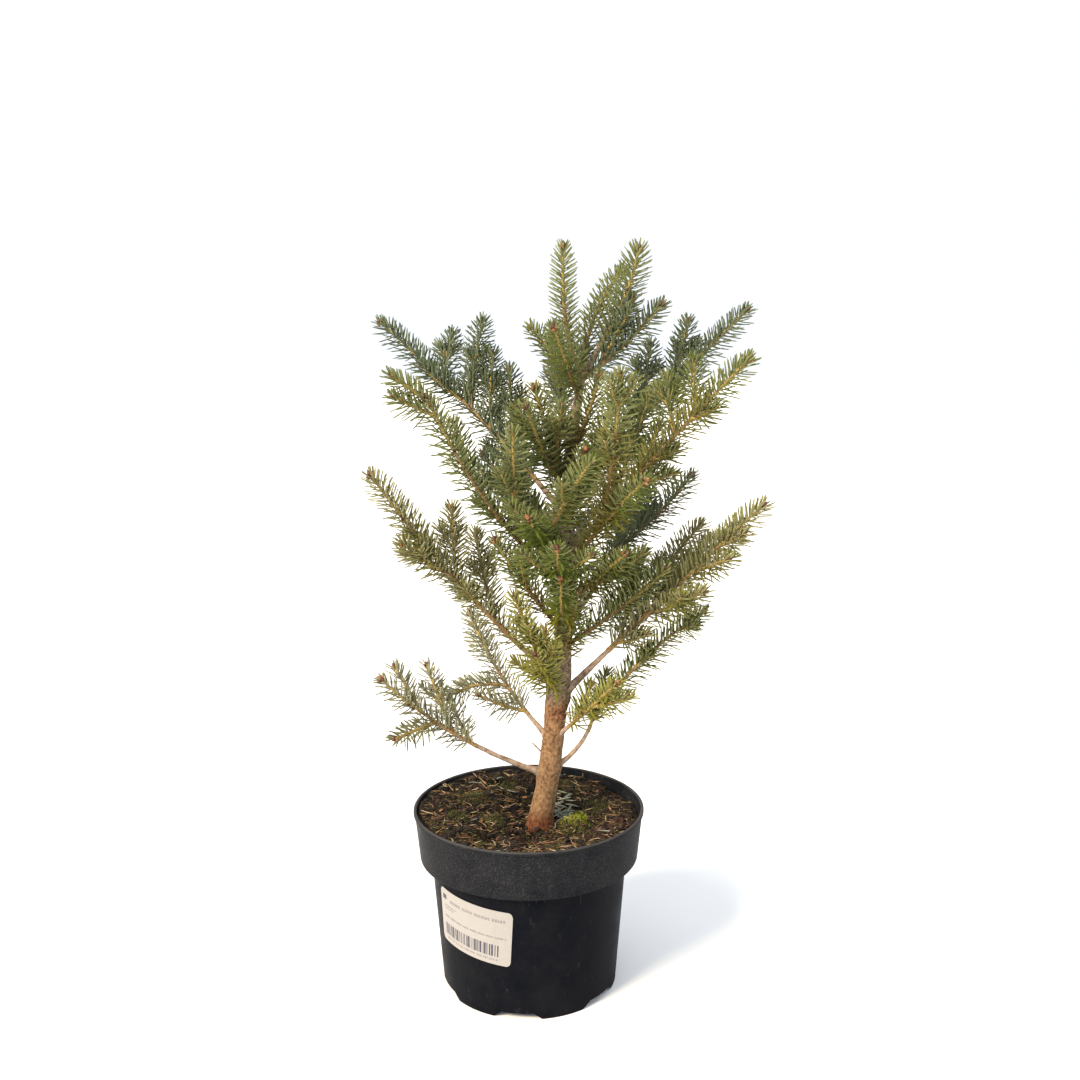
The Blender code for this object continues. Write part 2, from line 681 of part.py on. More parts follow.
def needled_shoot(name, path, first, siblings, spaces, chance):
    """A closed three-sided shoot with whorls of needles, from its bare foot to its tip."""
    bm = bmesh.new()
    length = lengths_along(path)[-1]
    ahead = ahead_along(path, first)
    side = np.cross(ahead, (0.0, 0.0, 1.0))
    side = side / np.linalg.norm(side)
    turn = chance.uniform(0.0, 120.0)
    ring = triangle_ring(bm, point_along(path, first), side, np.cross(side, ahead), TWIG_RADIUS, turn)
    bm.faces.new(ring)
    distance = first + CORE_SHOULDER
    while distance + NEEDLE_BASE < length - 0.4 * TIP_LENGTH:
        share = distance / length
        radius = CORE_RADIUS + (CORE_TIP_RADIUS - CORE_RADIUS) * share
        ahead = ahead_along(path, distance)
        side = side - ahead * side.dot(ahead)
        side = side / np.linalg.norm(side)
        up = np.cross(side, ahead)
        low = triangle_ring(bm, point_along(path, distance), side, up, radius, turn)
        high = triangle_ring(bm, point_along(path, distance + NEEDLE_BASE), side, up, radius, turn)
        bridge(bm, ring, low)
        centre = point_along(path, distance + NEEDLE_BASE / 2)
        tips = [
            needle_tip(name, low, high, corner, centre, ahead, share, siblings, spaces, chance)
            for corner in range(3)
        ]
        bridge(bm, low, high, tips)
        ring = high
        turn += NEEDLE_TURN
        distance += NEEDLE_PITCH
    tip = triangle_ring(bm, point_along(path, length), side, up, TIP_RADIUS, turn)
    bridge(bm, ring, tip)
    bm.faces.new(tip[::-1])
    bmesh.ops.recalc_face_normals(bm, faces=bm.faces)
    return bm


def keep_largest(mesh):
    """Drops loose scraps, and fills hollows that the join sealed, by keeping only the outer body."""
    bm = bmesh.new()
    bm.from_mesh(mesh)
    left = set(bm.faces)
    bodies = []
    while left:
        body = {left.pop()}
        edge = list(body)
        while edge:
            for loop in edge.pop().edges:
                for face in loop.link_faces:
                    if face in left:
                        left.discard(face)
                        body.add(face)
                        edge.append(face)
        bodies.append(body)
    bodies.sort(key=len, reverse=True)
    scraps = [face for body in bodies[1:] for face in body]
    bmesh.ops.delete(bm, geom=scraps, context="FACES")
    bm.to_mesh(mesh)
    bm.free()


def join_pieces(name, pieces, collection, material):
    """One solid from overlapping pieces, by one union on their collection."""
    first = add_object(name, mesh_of(name, pieces[0]), collection, material)
    if len(pieces) == 1:
        return first
    others = new_collection(f"{name}_pieces")
    for index, piece in enumerate(pieces[1:]):
        add_object(f"{name}_{index}", mesh_of(name, piece), others)
    union = first.modifiers.new("join", "BOOLEAN")
    union.operation = "UNION"
    union.operand_type = "COLLECTION"
    union.solver = "MANIFOLD"
    union.collection = others
    joined = evaluated_mesh(first)
    first.modifiers.clear()
    first.data = joined
    for obj in list(others.objects):
        bpy.data.objects.remove(obj)
    bpy.data.collections.remove(others)
    return first


def make_bough(name, stem, clearance, collection, material):
    """The bare stretch of a bough, from the trunk to where its mass begins."""
    bough = BOUGHS[name]
    count = max(2, round(bough.bare / BOUGH_STEP))
    places = [bough.bare * index / count for index in range(count + 1)]
    path = np.array([point_along(stem, place) for place in places])
    radii = [bough.radius + (TWIG_RADIUS - bough.radius) * 0.8 * place / bough.bare for place in places]
    mesh = tube(f"bough_{name}", path, radii, 8, collection)
    obj = add_object(f"bough_{name}", mesh, collection, material)
    add_boolean(obj, clearance)


def make_mass(name, paths, spaces, clearance, collection, material):
    """A bough's foliage: its stem and side shoots with their needles, fused into one solid."""
    bough = BOUGHS[name]
    chance = random.Random(f"{SEED} {name}")
    first = bough.bare + GAP if bough.bare else 0.0
    paths = paths + year_twigs(name, paths[0], first, spaces, chance)
    nowhere = np.full((1, 3), 9.0)
    pieces = []
    for index, path in enumerate(paths):
        siblings = np.concatenate([nowhere] + paths[:index] + paths[index + 1 :])
        start = 0.0 if index else first
        pieces.append(needled_shoot(name, path, start, siblings, spaces, chance))
    mass = join_pieces(f"mass_{name}", pieces, collection, material)
    add_boolean(mass, clearance)
    cut = evaluated_mesh(mass)
    mass.modifiers.clear()
    mass.data = cut
    keep_largest(cut)


def main():
    clear_scene()
    plant = new_collection("potted_korean_fir")
    cutters = new_collection("cutters")
    materials = {name: new_material(name) for name in MATERIALS}
    make_pot(plant, cutters, materials["pot"])
    make_soil(plant, materials["soil"])
    make_label(plant, materials["label"])
    clearance = make_trunk(plant, cutters, materials["bark"])
    shoots = shoot_paths()
    spaces = Spaces(shoots)
    for name, paths in shoots.items():
        if BOUGHS[name].bare:
            make_bough(name, paths[0], clearance, plant, materials["bark"])
        make_mass(name, paths, spaces, clearance, plant, materials["needles"])


main()
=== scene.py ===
"""The finished look of the potted Korean fir: bark, twigs, needles, buds, pot, soil, litter and label.

Metres, +Z up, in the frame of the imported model. The plant's limbs grow by the same tables and the same seeded
rule as its solids, and carry on to finer twigs, needles and buds.
"""

import math
import random
from collections import namedtuple

import bmesh
import bpy
import numpy as np
from mathutils import Matrix, Vector, noise


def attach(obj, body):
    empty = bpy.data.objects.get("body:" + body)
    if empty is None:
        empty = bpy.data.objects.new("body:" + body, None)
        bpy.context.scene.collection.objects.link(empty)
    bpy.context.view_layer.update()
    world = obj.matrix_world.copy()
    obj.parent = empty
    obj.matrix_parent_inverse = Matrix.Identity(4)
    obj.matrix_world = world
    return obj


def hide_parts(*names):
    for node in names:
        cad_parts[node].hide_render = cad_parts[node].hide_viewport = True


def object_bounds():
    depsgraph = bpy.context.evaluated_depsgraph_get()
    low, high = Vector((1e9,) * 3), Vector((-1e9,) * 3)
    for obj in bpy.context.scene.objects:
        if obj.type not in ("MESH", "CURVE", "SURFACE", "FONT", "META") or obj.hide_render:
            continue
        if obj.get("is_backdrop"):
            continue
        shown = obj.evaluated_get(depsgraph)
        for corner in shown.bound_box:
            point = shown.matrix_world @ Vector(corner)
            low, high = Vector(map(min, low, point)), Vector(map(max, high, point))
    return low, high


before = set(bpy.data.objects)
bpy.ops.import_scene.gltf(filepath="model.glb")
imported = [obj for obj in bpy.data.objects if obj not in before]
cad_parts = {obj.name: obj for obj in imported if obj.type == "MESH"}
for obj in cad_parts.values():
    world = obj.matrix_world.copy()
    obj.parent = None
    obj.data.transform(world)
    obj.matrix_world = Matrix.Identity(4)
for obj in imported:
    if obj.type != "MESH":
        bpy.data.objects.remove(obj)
CAD_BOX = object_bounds()

SEED = 7
GAP = 0.0003

# Camera and studio
CAMERA_PLACE = (0.0117, -0.9426, 0.5333)
CAMERA_PITCH = 0.1693
CAMERA_ROLL = 0.0061
CAMERA_LENS = 40.0
CAMERA_SENSOR = 36.0
CAMERA_CLIP = (0.01, 60.0)
KEY_FROM = (-1.0, -0.95, 1.05)
KEY_STRENGTH = 5.0
KEY_COLOR = (1.0, 0.86, 0.66)
KEY_ANGLE = 20.0
SKY_COLOR = (0.90, 0.94, 1.0, 1.0)
SKY_STRENGTH = 1.12
FLOOR_RADIUS = 14.0

# Pot
POT_HEIGHT = 0.150
RIM_RADIUS = 0.095
LIP_HEIGHT = 0.003
LIP_DEPTH = 0.0008
COLLAR_FOOT = 0.109
COLLAR_FOOT_RADIUS = 0.0900
BODY_TOP_RADIUS = 0.0808
FOOT_RADIUS = 0.0722
WALL = 0.0018
FOOT_RING = 0.008
PAN_RADIUS = 0.0420
PAN_TOP = 0.002
CHANNEL_UNDER = 0.006
CHANNEL_TOP = 0.008
NOTCHES = 6
NOTCH_FIRST = -97.5
NOTCH_LENGTH = 0.024
NOTCH_HEIGHT = 0.0054
NOTCH_TOP_WIDTH = 0.026
NOTCH_FOOT_WIDTH = 0.040
DRAIN_RADIUS = 0.0055
DRAIN_RING = 0.0535
POT_STEPS = 192
SHARP_EDGE = 32.0

# Soil
SOIL_TOP = 0.133
BANK_RISE = 0.014
BANK_START = 0.018
BANK_REACH = 0.055
BANK_AZIMUTH = 150.0
SOIL_RINGS = 74
SOIL_COLUMNS = 260
SOIL_CALM = 0.012  # this near the wall the peat lies smoother
WALL_CLEAR = 0.003  # what loose bits keep from the wall, and then from the trunk's middle
LITTER_CLEAR = 0.013
CRUMB_CLEAR = 0.011
MOSS_CLEAR = 0.012

# Label
LABEL_WIDTH = 0.072
LABEL_HEIGHT = 0.047
LABEL_CORNER = 0.004
LABEL_THICK = 0.0004
LABEL_AZIMUTH = -126.0
LABEL_CENTRE_Z = 0.0724
LABEL_TILT = 4.0
PRINT_THICK = 0.00006

# Trunk: height, how far right of the axis its middle is, and its radius
TRUNK = (
    (0.1333, 0.0092, 0.0112),
    (0.1400, 0.0100, 0.0101),
    (0.1680, 0.0155, 0.0092),
    (0.1830, 0.0176, 0.0095),
    (0.2060, 0.0205, 0.0083),
    (0.2300, 0.0225, 0.0092),
    (0.2530, 0.0255, 0.0101),
    (0.2800, 0.0283, 0.0077),
    (0.3230, 0.0318, 0.0066),
    (0.3800, 0.0320, 0.0056),
    (0.4400, 0.0350, 0.0045),
    (0.4970, 0.0430, 0.0035),
    (0.5220, 0.0570, 0.0024),
)
TRUNK_Z, TRUNK_X, TRUNK_R = zip(*TRUNK)
TRUNK_ROW = 0.0008
TRUNK_COLUMNS = 72
SWELL_WIDTH = 0.0044  # the collars round the boughs' feet
SWELL_HEIGHT = 0.0062

# Boughs and shoots
PATH_STEP = 0.008
TWIG_RADIUS = 0.0015
TIP_RADIUS = 0.0010
LIMB_STEP = 0.003
LIMB_ROOM = 0.0020
YEAR_GROWTH = 0.052
PAIR_CLEAR = 0.016
PAIR_LAST = 0.055  # a stem's newest growth has no pairs yet
FINE_FIRST = 0.45  # the finest twigs stand between these shares of a shoot
FINE_LAST = 0.8
FINE_PITCH = 0.045  # and this far apart
FINE_LEAST = 0.050  # the shortest shoot that carries finer twigs

# By a shoot's order: stem, side shoot, yearly twig, finest twig
FOOT_RADII = (0.0022, 0.0018, 0.0014, 0.0011)
BUD_SIZES = (0.0042, 0.0031, 0.0023, 0.0018)
BUD_COUNTS = (4, 3, 1, 1)
BOUGH_TAPER = 0.6  # how far a bough has thinned towards a twig where its needles begin
BARE_TAPER = 0.8  # and its bark, under the first needles
BOUGH_STEP = 0.0010
BOUGH_SIDES = 14
TWIG_STEP = 0.0016
TWIG_SIDES = 7
STUB_POINTS = 9

# Needles, with distances from the shoot's tip
NEEDLE_LENGTH = 0.0164
NEEDLE_WIDTH = 0.00150
NEEDLE_THICK = 0.00080
NEEDLE_PITCH = 0.00048  # along the shoot, from one needle to the next
NEEDLE_ROOM = 0.0006  # what a needle keeps from a limb
GOLDEN_TURN = 137.5
NEEDLE_LEAN = 66.0
HANG_LEAN = 14.0
CLOSED_REACH = 0.016  # the needles close in round the end bud
FRESH_REACH = 0.045  # the last growth
LONG_REACH = 0.050  # from here back the needles have their full length
OLD_START = 0.06  # from here back needles are missing
OLD_REACH = 0.10

Bough = namedtuple("Bough", "tone height azimuth rise length curl turn bare radius", defaults=(0.0, 0.0))
Side = namedtuple("Side", "share azimuth rise length curl turn", defaults=(0,))
Shoot = namedtuple("Shoot", "name path first foot_radius order")

# Pairs of twigs: half angle between them, length, its least and greatest share, share of the shoot's rise, how
# far that varies, curl, and the room that a twig needs
Pairs = namedtuple("Pairs", "spread length least most rise sway curl room")
YEAR_PAIRS = Pairs(48.0, 0.034, 0.75, 1.1, 0.6, 6, 14, 0.0055)
FINE_PAIRS = Pairs(44.0, 0.024, 0.7, 1.15, 0.7, 8, 12, 0.0015)

# Each bough with the tone of its older needles; bare length and foot radius are for those with bare wood
BOUGHS = {
    "low_left": Bough("grey", 0.176, 195, 22, 0.167, 25, 3, 0.068, 0.0026),
    "second_left": Bough("grey", 0.204, 144, 34, 0.135, 22, -12, 0.030, 0.0024),
    "left": Bough("pale", 0.255, 195, 44, 0.232, 11, 9, 0.045, 0.0038),
    "right": Bough("pale", 0.240, 350, 46, 0.231, -1, -7, 0.060, 0.0036),
    "low_right": Bough("green", 0.180, 4, 26, 0.070, 58, 0, 0.051, 0.0020),
    "low_front": Bough("sunlit_lime", 0.206, 323, 42, 0.089, 2, -8, 0.020, 0.0021),
    "front_low": Bough("sunlit_lime", 0.244, 245, 43, 0.064, 5, 3),
    "centre_left": Bough("olive", 0.297, 220, 44, 0.114, 9, 11, 0.022, 0.0026),
    "front_right": Bough("olive", 0.319, 312, 37, 0.086, 0, -4),
    "front": Bough("olive", 0.344, 300, 46, 0.138, -14, 2, 0.024, 0.0026),
    "upper_right": Bough("olive", 0.358, 331, 49, 0.216, -4, 4, 0.035, 0.0034),
    "mid_right": Bough("shaded_blue", 0.340, 31, 18, 0.148, 27, -1, 0.035, 0.0028),
    "bright_front": Bough("green", 0.362, 250, 16, 0.110, 14, 6, 0.022, 0.0026),
    "upper_left": Bough("green", 0.332, 207, 42, 0.204, 18, 21, 0.030, 0.0032),
    "back_left": Bough("shaded_blue", 0.390, 138, 41, 0.239, -1, 24, 0.042, 0.0034),
    "back_right": Bough("shaded_blue", 0.402, 46, 38, 0.229, 7, -42, 0.040, 0.0032),
    "inner_right": Bough("olive", 0.392, 12, 50, 0.060, 10, -8),
    "whorl_left": Bough("green", 0.490, 140, 46, 0.068, 2, 12),
    "whorl_front": Bough("green", 0.486, 252, 40, 0.079, 4, -4),
    "whorl_right": Bough("shaded_blue", 0.498, 352, 36, 0.086, 14, 10),
    "top_left": Bough("green", 0.500, 205, 62, 0.104, 24, 80),
    "top_back": Bough("green", 0.500, 84, 66, 0.104, -20, -62),
    "leader": Bough("green", 0.5222, 0, 57, 0.083, 22, 0),
    "back_low": Bough("shaded_blue", 0.268, 84, 36, 0.205, 22, 14, 0.050, 0.0032),
    "back_low_right": Bough("shaded_blue", 0.300, 50, 30, 0.190, 26, 6, 0.050, 0.0030),
    "back_mid": Bough("shaded_blue", 0.326, 120, 32, 0.205, 26, -12, 0.045, 0.0030),
    "front_mid": Bough("green", 0.330, 262, 18, 0.115, 20, 6, 0.028, 0.0026),
    "inner_left": Bough("olive", 0.418, 218, 60, 0.084, 12, 0),
    "inner_front": Bough("olive", 0.436, 303, 54, 0.078, 10, 0),
    "back_high": Bough("shaded_blue", 0.428, 92, 36, 0.160, 20, 8, 0.032, 0.0026),
    "mid_low_right": Bough("green", 0.284, 338, 34, 0.112, 10, 4),
    "low_centre": Bough("olive", 0.276, 288, 54, 0.070, 14, 10),
    "mid_centre": Bough("olive", 0.306, 262, 22, 0.088, 24, 10),
    "crown_front": Bough("olive", 0.384, 278, 38, 0.094, 14, 6),
    "crown_left": Bough("green", 0.408, 232, 44, 0.094, 16, 8),
    "crown_right": Bough("olive", 0.400, 316, 55, 0.104, 8, -8),
    "crown_back": Bough("shaded_blue", 0.372, 160, 34, 0.098, 20, 6),
}

# The side shoots of a bough: share of its length, azimuth, rise, length, curl, turn
SIDE_ROWS = {
    "low_left": (
        (0.54, 127, 46, 0.064, 5, -4), (0.65, 229, -4, 0.047, 4, 7), (0.44, 122, 34, 0.046, 7, 2),
        (0.73, 142, 46, 0.045, 8, 7),
    ),
    "second_left": (
        (0.46, 168, 10, 0.060, -48, 26), (0.26, 196, 16, 0.044, 14, -4), (0.68, 110, 20, 0.045, 20, 8),
    ),
    "left": ((0.55, 211, 29, 0.056, 12, 10), (0.52, 118, 62, 0.062, 14, -30), (0.32, 124, 57, 0.080, 1, -18)),
    "right": (
        (0.38, 62, 41, 0.112, 2, -42), (0.48, 40, 34, 0.076, 20, -24), (0.30, 330, 12, 0.030, 20),
        (0.31, 50, 56, 0.050, 8), (0.80, 334, 20, 0.022, 16), (0.45, 316, 20, 0.060, 11, 5),
        (0.66, 312, 24, 0.042, 0, 8), (0.72, 30, 34, 0.036, 10),
    ),
    "low_right": ((0.80, 348, 59, 0.131, -27, 16), (0.84, 70, 40, 0.044, 10, -10)),
    "low_front": ((0.60, 345, 10, 0.034, 16), (0.34, 20, 60, 0.034, 12)),
    "centre_left": ((0.52, 262, 40, 0.045, 10),),
    "front": ((0.46, 292, 60, 0.130, 14, -16),),
    "front_low": ((0.34, 262, 66, 0.050, 10, -10), (0.26, 214, 64, 0.086, 4), (0.36, 190, 26, 0.034, 12)),
    "upper_right": (
        (0.74, 108, 62, 0.042, 11, -36), (0.42, 15, 60, 0.044, 10, 10), (0.70, 322, 18, 0.027, 18),
        (0.40, 326, 2, 0.036, 20), (0.50, 330, 14, 0.024, 26), (0.24, 18, 64, 0.098, 8),
        (0.62, 100, 62, 0.050, 8),
    ),
    "mid_right": ((0.55, 75, 30, 0.045, 16),),
    "bright_front": ((0.46, 292, 54, 0.085, -6, 30), (0.66, 214, 34, 0.036, 20), (0.34, 200, 62, 0.042, 10)),
    "upper_left": (
        (0.30, 262, 54, 0.100, 20, 10), (0.97, 194, 41, 0.036, -8), (0.92, 190, 22, 0.035, 8, 6),
        (0.63, 126, 55, 0.050, 8),
    ),
    "back_left": (
        (0.53, 90, 62, 0.086, -4, -24), (0.67, 100, 46, 0.055, 7, -36), (0.30, 98, 61, 0.080, 0, -4),
        (0.58, 196, 34, 0.046, 14), (0.57, 60, 56, 0.034, 8), (0.43, 92, 62, 0.070, 4, -10),
    ),
    "back_right": (
        (0.58, 54, 46, 0.070, 21, 10), (0.44, 80, 60, 0.070, -2, -12), (0.28, 24, 66, 0.056, -10, -8),
    ),
    "back_low": ((0.46, 128, 36, 0.060, 14, -8), (0.54, 44, 34, 0.058, 14, 8)),
    "back_low_right": ((0.50, 92, 32, 0.055, 14, -8), (0.58, 14, 30, 0.034, 14, 8)),
    "back_mid": ((0.48, 164, 34, 0.060, 14, -8), (0.56, 80, 36, 0.055, 14, 8)),
    "front_mid": ((0.50, 222, 24, 0.045, 14), (0.58, 306, 20, 0.045, 14)),
    "back_high": ((0.40, 112, 40, 0.046, 14), (0.55, 48, 40, 0.046, 14)),
    "front_right": ((0.30, 334, 26, 0.062, 16),),
    "mid_low_right": ((0.40, 30, 50, 0.062, 10, -10),),
    "crown_front": ((0.34, 346, 64, 0.060, 8),),
    "crown_left": ((0.34, 196, 54, 0.056, 12), (0.30, 288, 68, 0.056, 4)),
    "whorl_right": ((0.22, 346, 62, 0.058, 4, 10),),
}
SIDES = {name: [Side(*row) for row in rows] for name, rows in SIDE_ROWS.items()}

Tone = namedtuple("Tone", "upper under")
NEEDLE_TONES = {
    "grey": Tone((0.155, 0.155, 0.075), (0.300, 0.295, 0.185)),
    "pale": Tone((0.160, 0.160, 0.036), (0.275, 0.260, 0.125)),
    "olive": Tone((0.138, 0.134, 0.014), (0.225, 0.205, 0.060)),
    "green": Tone((0.092, 0.120, 0.018), (0.200, 0.212, 0.082)),
    # blue-green, darkened as painted shade, for the boughs at the back and on the right
    "shaded_blue": Tone((0.050, 0.078, 0.030), (0.140, 0.165, 0.090)),
    # yellow-green, brightened as painted sunlight, for two low boughs at the front
    "sunlit_lime": Tone((0.205, 0.205, 0.030), (0.300, 0.285, 0.090)),
}
TIP_TONES = {"olive": "green"}  # the tone of a bough's last growth, where it is another


# Meshes from arrays


class Pile:
    """Triangles gathered for one joined mesh, each with a material slot."""

    def __init__(self):
        self.verts = []
        self.faces = []
        self.slots = []
        self.count = 0

    def add(self, verts, faces, slots=0):
        self.verts.append(np.asarray(verts, float))
        self.faces.append(np.asarray(faces, int) + self.count)
        self.slots.append(np.broadcast_to(slots, len(faces)))
        self.count += len(verts)

    def make(self, name, materials, *kinds, smooth=True):
        mesh = bpy.data.meshes.new(name)
        mesh.from_pydata(np.concatenate(self.verts), [], np.concatenate(self.faces))
        mesh.polygons.foreach_set("material_index", np.concatenate(self.slots).astype(np.int32))
        mesh.polygons.foreach_set("use_smooth", np.full(len(mesh.polygons), smooth))
        for kind in kinds:
            mesh.materials.append(materials[kind])
        mesh.update()
        return add_object(name, mesh)


def add_object(name, data):
    obj = bpy.data.objects.new(name, data)
    bpy.context.scene.collection.objects.link(obj)
    return obj


def mesh_object(name, bm):
    mesh = bpy.data.meshes.new(name)
    bm.to_mesh(mesh)
    bm.free()
    return add_object(name, mesh)


def grid_faces(rows, columns):
    """The triangles between rings of vertices."""
    row, column = np.meshgrid(np.arange(rows - 1), np.arange(columns), indexing="ij")
    low = row * columns
    high = low + columns
    after = (column + 1) % columns
    corners = [values.reshape(-1) for values in (low + column, low + after, high + after, high + column)]
    return np.concatenate([np.stack([corners[i] for i in face], axis=1) for face in ((0, 1, 2), (0, 2, 3))])


def fan_faces(first, count, tip):
    """The triangles between a ring of vertices and a tip."""
    index = np.arange(count)
    return np.stack([first + index, first + (index + 1) % count, np.full(count, tip)], axis=1)


def ring_angles(count):
    return np.arange(count) * 2 * math.pi / count


def unit(vectors):
    return vectors / np.linalg.norm(vectors, axis=-1, keepdims=True)


def level_sides(ahead):
    """The level side and the upper side of each direction."""
    side = np.cross(ahead, (0.0, 0.0, 1.0))
    side[np.linalg.norm(side, axis=1) < 0.05] = (0.0, 1.0, 0.0)
    side = unit(side)
    return side, np.cross(side, ahead)


def bud_sides(ahead):
    side = unit(np.cross(ahead, (0.3, 0.2, 0.93)))
    return side, np.cross(side, ahead)


def around(side, up, angle):
    return math.cos(angle) * side + math.sin(angle) * up


def mound(across, along):
    """The height of a round mound, one at its middle."""
    return math.exp(-(across**2) - along**2)


def tube_mesh(path, radii, sides, wobble=None):
    """Rings round a path, closed at both ends by a point."""
    side, up = level_sides(unit(np.gradient(path, axis=0)))
    angles = ring_angles(sides)
    out = np.cos(angles)[None, :, None] * side[:, None] + np.sin(angles)[None, :, None] * up[:, None]
    radii = np.asarray(radii)[:, None] * np.ones(sides)[None]
    if wobble is not None:
        radii = radii + wobble(path, angles)
    rings = path[:, None] + out * radii[:, :, None]
    verts = np.concatenate([rings.reshape(-1, 3), path[:1], path[-1:]])
    end = len(verts) - 2
    ends = fan_faces(0, sides, end)[:, ::-1], fan_faces(end - sides, sides, end + 1)
    return verts, np.concatenate([grid_faces(len(path), sides), *ends])


# Limbs by the same rule as the solids


def heading(azimuth, rise):
    a = math.radians(azimuth)
    r = math.radians(rise)
    return np.array([math.cos(a) * math.cos(r), math.sin(a) * math.cos(r), math.sin(r)])


def limb_path(start, shoot):
    """Points every PATH_STEP or so along a shoot that curls and turns evenly."""
    steps = max(4, round(shoot.length / PATH_STEP))
    points = [np.array(start, float)]
    for index in range(steps):
        share = (index + 0.5) / steps
        ahead = heading(shoot.azimuth + shoot.turn * share, shoot.rise + shoot.curl * share)
        points.append(points[-1] + ahead * shoot.length / steps)
    return np.array(points)


def lengths_along(path):
    return np.concatenate([[0.0], np.cumsum(np.linalg.norm(np.diff(path, axis=0), axis=1))])


def points_along(path, distances):
    lengths = lengths_along(path)
    return np.stack([np.interp(distances, lengths, path[:, axis]) for axis in range(3)], axis=-1)


def ahead_along(path, distance):
    ahead = points_along(path, distance + 0.002) - points_along(path, distance - 0.002)
    return ahead / np.linalg.norm(ahead)


def trunk_point(z):
    return np.array([np.interp(z, TRUNK_Z, TRUNK_X), 0.0, z])


def trunk_radius(z):
    return float(np.interp(z, TRUNK_Z, TRUNK_R))


def from_trunk(x, y):
    """How far a place on the soil is from the trunk's middle."""
    return math.hypot(x - TRUNK_X[0], y)


def shoot_paths():
    """Every mass's shoots as paths: its bough first, then its side shoots."""
    shoots = {}
    for name, bough in BOUGHS.items():
        stem = limb_path(trunk_point(bough.height), bough)
        starts = ((points_along(stem, side.share * bough.length), side) for side in SIDES.get(name, ()))
        shoots[name] = [stem] + [limb_path(start, side) for start, side in starts]
    return shoots


class Spaces:
    """The room round the shoots: a mass's space is what lies nearer its own shoots than any other's."""

    def __init__(self, shoots):
        points = []
        owners = []
        for name, paths in shoots.items():
            for path in paths:
                middles = (path[1:] + path[:-1]) / 2
                points.extend([path, middles])
                owners.extend([name] * (len(path) + len(middles)))
        self.points = np.concatenate(points)
        self.owners = np.array(owners)
        limbs = [np.array([trunk_point(z) for z in np.arange(SOIL_TOP, TRUNK_Z[-1], LIMB_STEP)])]
        radii = [[trunk_radius(point[2]) for point in limbs[0]]]
        for name, bough in BOUGHS.items():
            reach = np.arange(0.0, bough.bare, LIMB_STEP)
            limbs.append(points_along(shoots[name][0], reach))
            radii.append(np.full(len(reach), bough.radius))
        self.limb_points = np.concatenate(limbs)
        self.limb_radii = np.concatenate(radii)

    def limb_room(self, samples):
        """How far each sample is from the nearest limb's bark."""
        distances = np.linalg.norm(samples[:, None] - self.limb_points[None], axis=2)
        return (distances - self.limb_radii).min(axis=1)

    def holds(self, name, samples, room):
        """Whether the samples lie in a mass's space with room to spare, off the limbs and above the pot."""
        distances = np.linalg.norm(samples[:, None] - self.points[None], axis=2)
        own = distances[:, self.owners == name].min(axis=1)
        other = distances[:, self.owners != name].min(axis=1)
        clear = ((other - own) / 2 > room).all() and (self.limb_room(samples) > LIMB_ROOM).all()
        return bool(clear and (samples[:, 2] > POT_HEIGHT).all())


def twig_pair(path, distance, pairs, chance):
    """The two twigs that leave a shoot to its left and right."""
    ahead = ahead_along(path, distance)
    azimuth = math.degrees(math.atan2(ahead[1], ahead[0]))
    rise = math.degrees(math.asin(ahead[2])) * pairs.rise
    for spread in (-pairs.spread, pairs.spread):
        length = pairs.length * chance.uniform(pairs.least, pairs.most)
        lift = rise + chance.uniform(-pairs.sway, pairs.sway)
        twig = Side(0.0, azimuth + spread, lift, length, pairs.curl, -spread * 0.3)
        yield limb_path(points_along(path, distance), twig)


def year_twigs(name, stem, bare, spaces, chance):
    """Pairs of short twigs at each year's growth of a stem, where they have room and no side shoot leaves."""
    bough = BOUGHS[name]
    taken = [side.share * bough.length for side in SIDES.get(name, ())]
    twigs = []
    distance = bare + YEAR_GROWTH
    while distance < bough.length - PAIR_LAST:
        near = min((abs(distance - place) for place in taken), default=1.0)
        for path in twig_pair(stem, distance, YEAR_PAIRS, chance):
            if near > PAIR_CLEAR and spaces.holds(name, path[2:], YEAR_PAIRS.room):
                twigs.append(path)
        distance += YEAR_GROWTH
    return twigs


# The finer growth that only the finished plant has


def fine_twigs(name, paths, spaces, chance):
    """Pairs of the finest twigs, half way along the longer side shoots."""
    twigs = []
    for path in paths:
        length = lengths_along(path)[-1]
        if length < FINE_LEAST:
            continue
        for share in np.arange(FINE_FIRST, FINE_LAST, FINE_PITCH / length):
            for fine in twig_pair(path, share * length, FINE_PAIRS, chance):
                if spaces.holds(name, fine[2:], FINE_PAIRS.room):
                    twigs.append(fine)
    return twigs


def grow_shoots():
    """Every needled shoot of the plant, from its foot to its tip."""
    skeleton = shoot_paths()
    spaces = Spaces(skeleton)
    shoots = []
    for name, paths in skeleton.items():
        bough = BOUGHS[name]
        first = bough.bare + GAP if bough.bare else 0.0
        pairs = year_twigs(name, paths[0], first, spaces, random.Random(f"{SEED} {name}"))
        fine = fine_twigs(name, paths[1:] + pairs, spaces, random.Random(f"{SEED} fine {name}"))
        foot = bough.radius + (TWIG_RADIUS - bough.radius) * BOUGH_TAPER if bough.bare else FOOT_RADII[0]
        shoots.append(Shoot(name, paths[0], first, foot, 0))
        for order, later in enumerate((paths[1:], pairs, fine), start=1):
            shoots.extend(Shoot(name, path, 0.0, FOOT_RADII[order], order) for path in later)
    return skeleton, shoots, spaces


def smooth_path(path, step):
    """The path again in short even steps, and how far along it each step is."""
    length = lengths_along(path)[-1]
    count = max(3, round(length / step))
    places = np.linspace(0.0, length, count + 1)
    points = points_along(path, places)
    inner = (points[2:] + points[:-2] + 2 * points[1:-1]) / 4
    return np.concatenate([points[:1], inner, points[-1:]]), places


# Needles

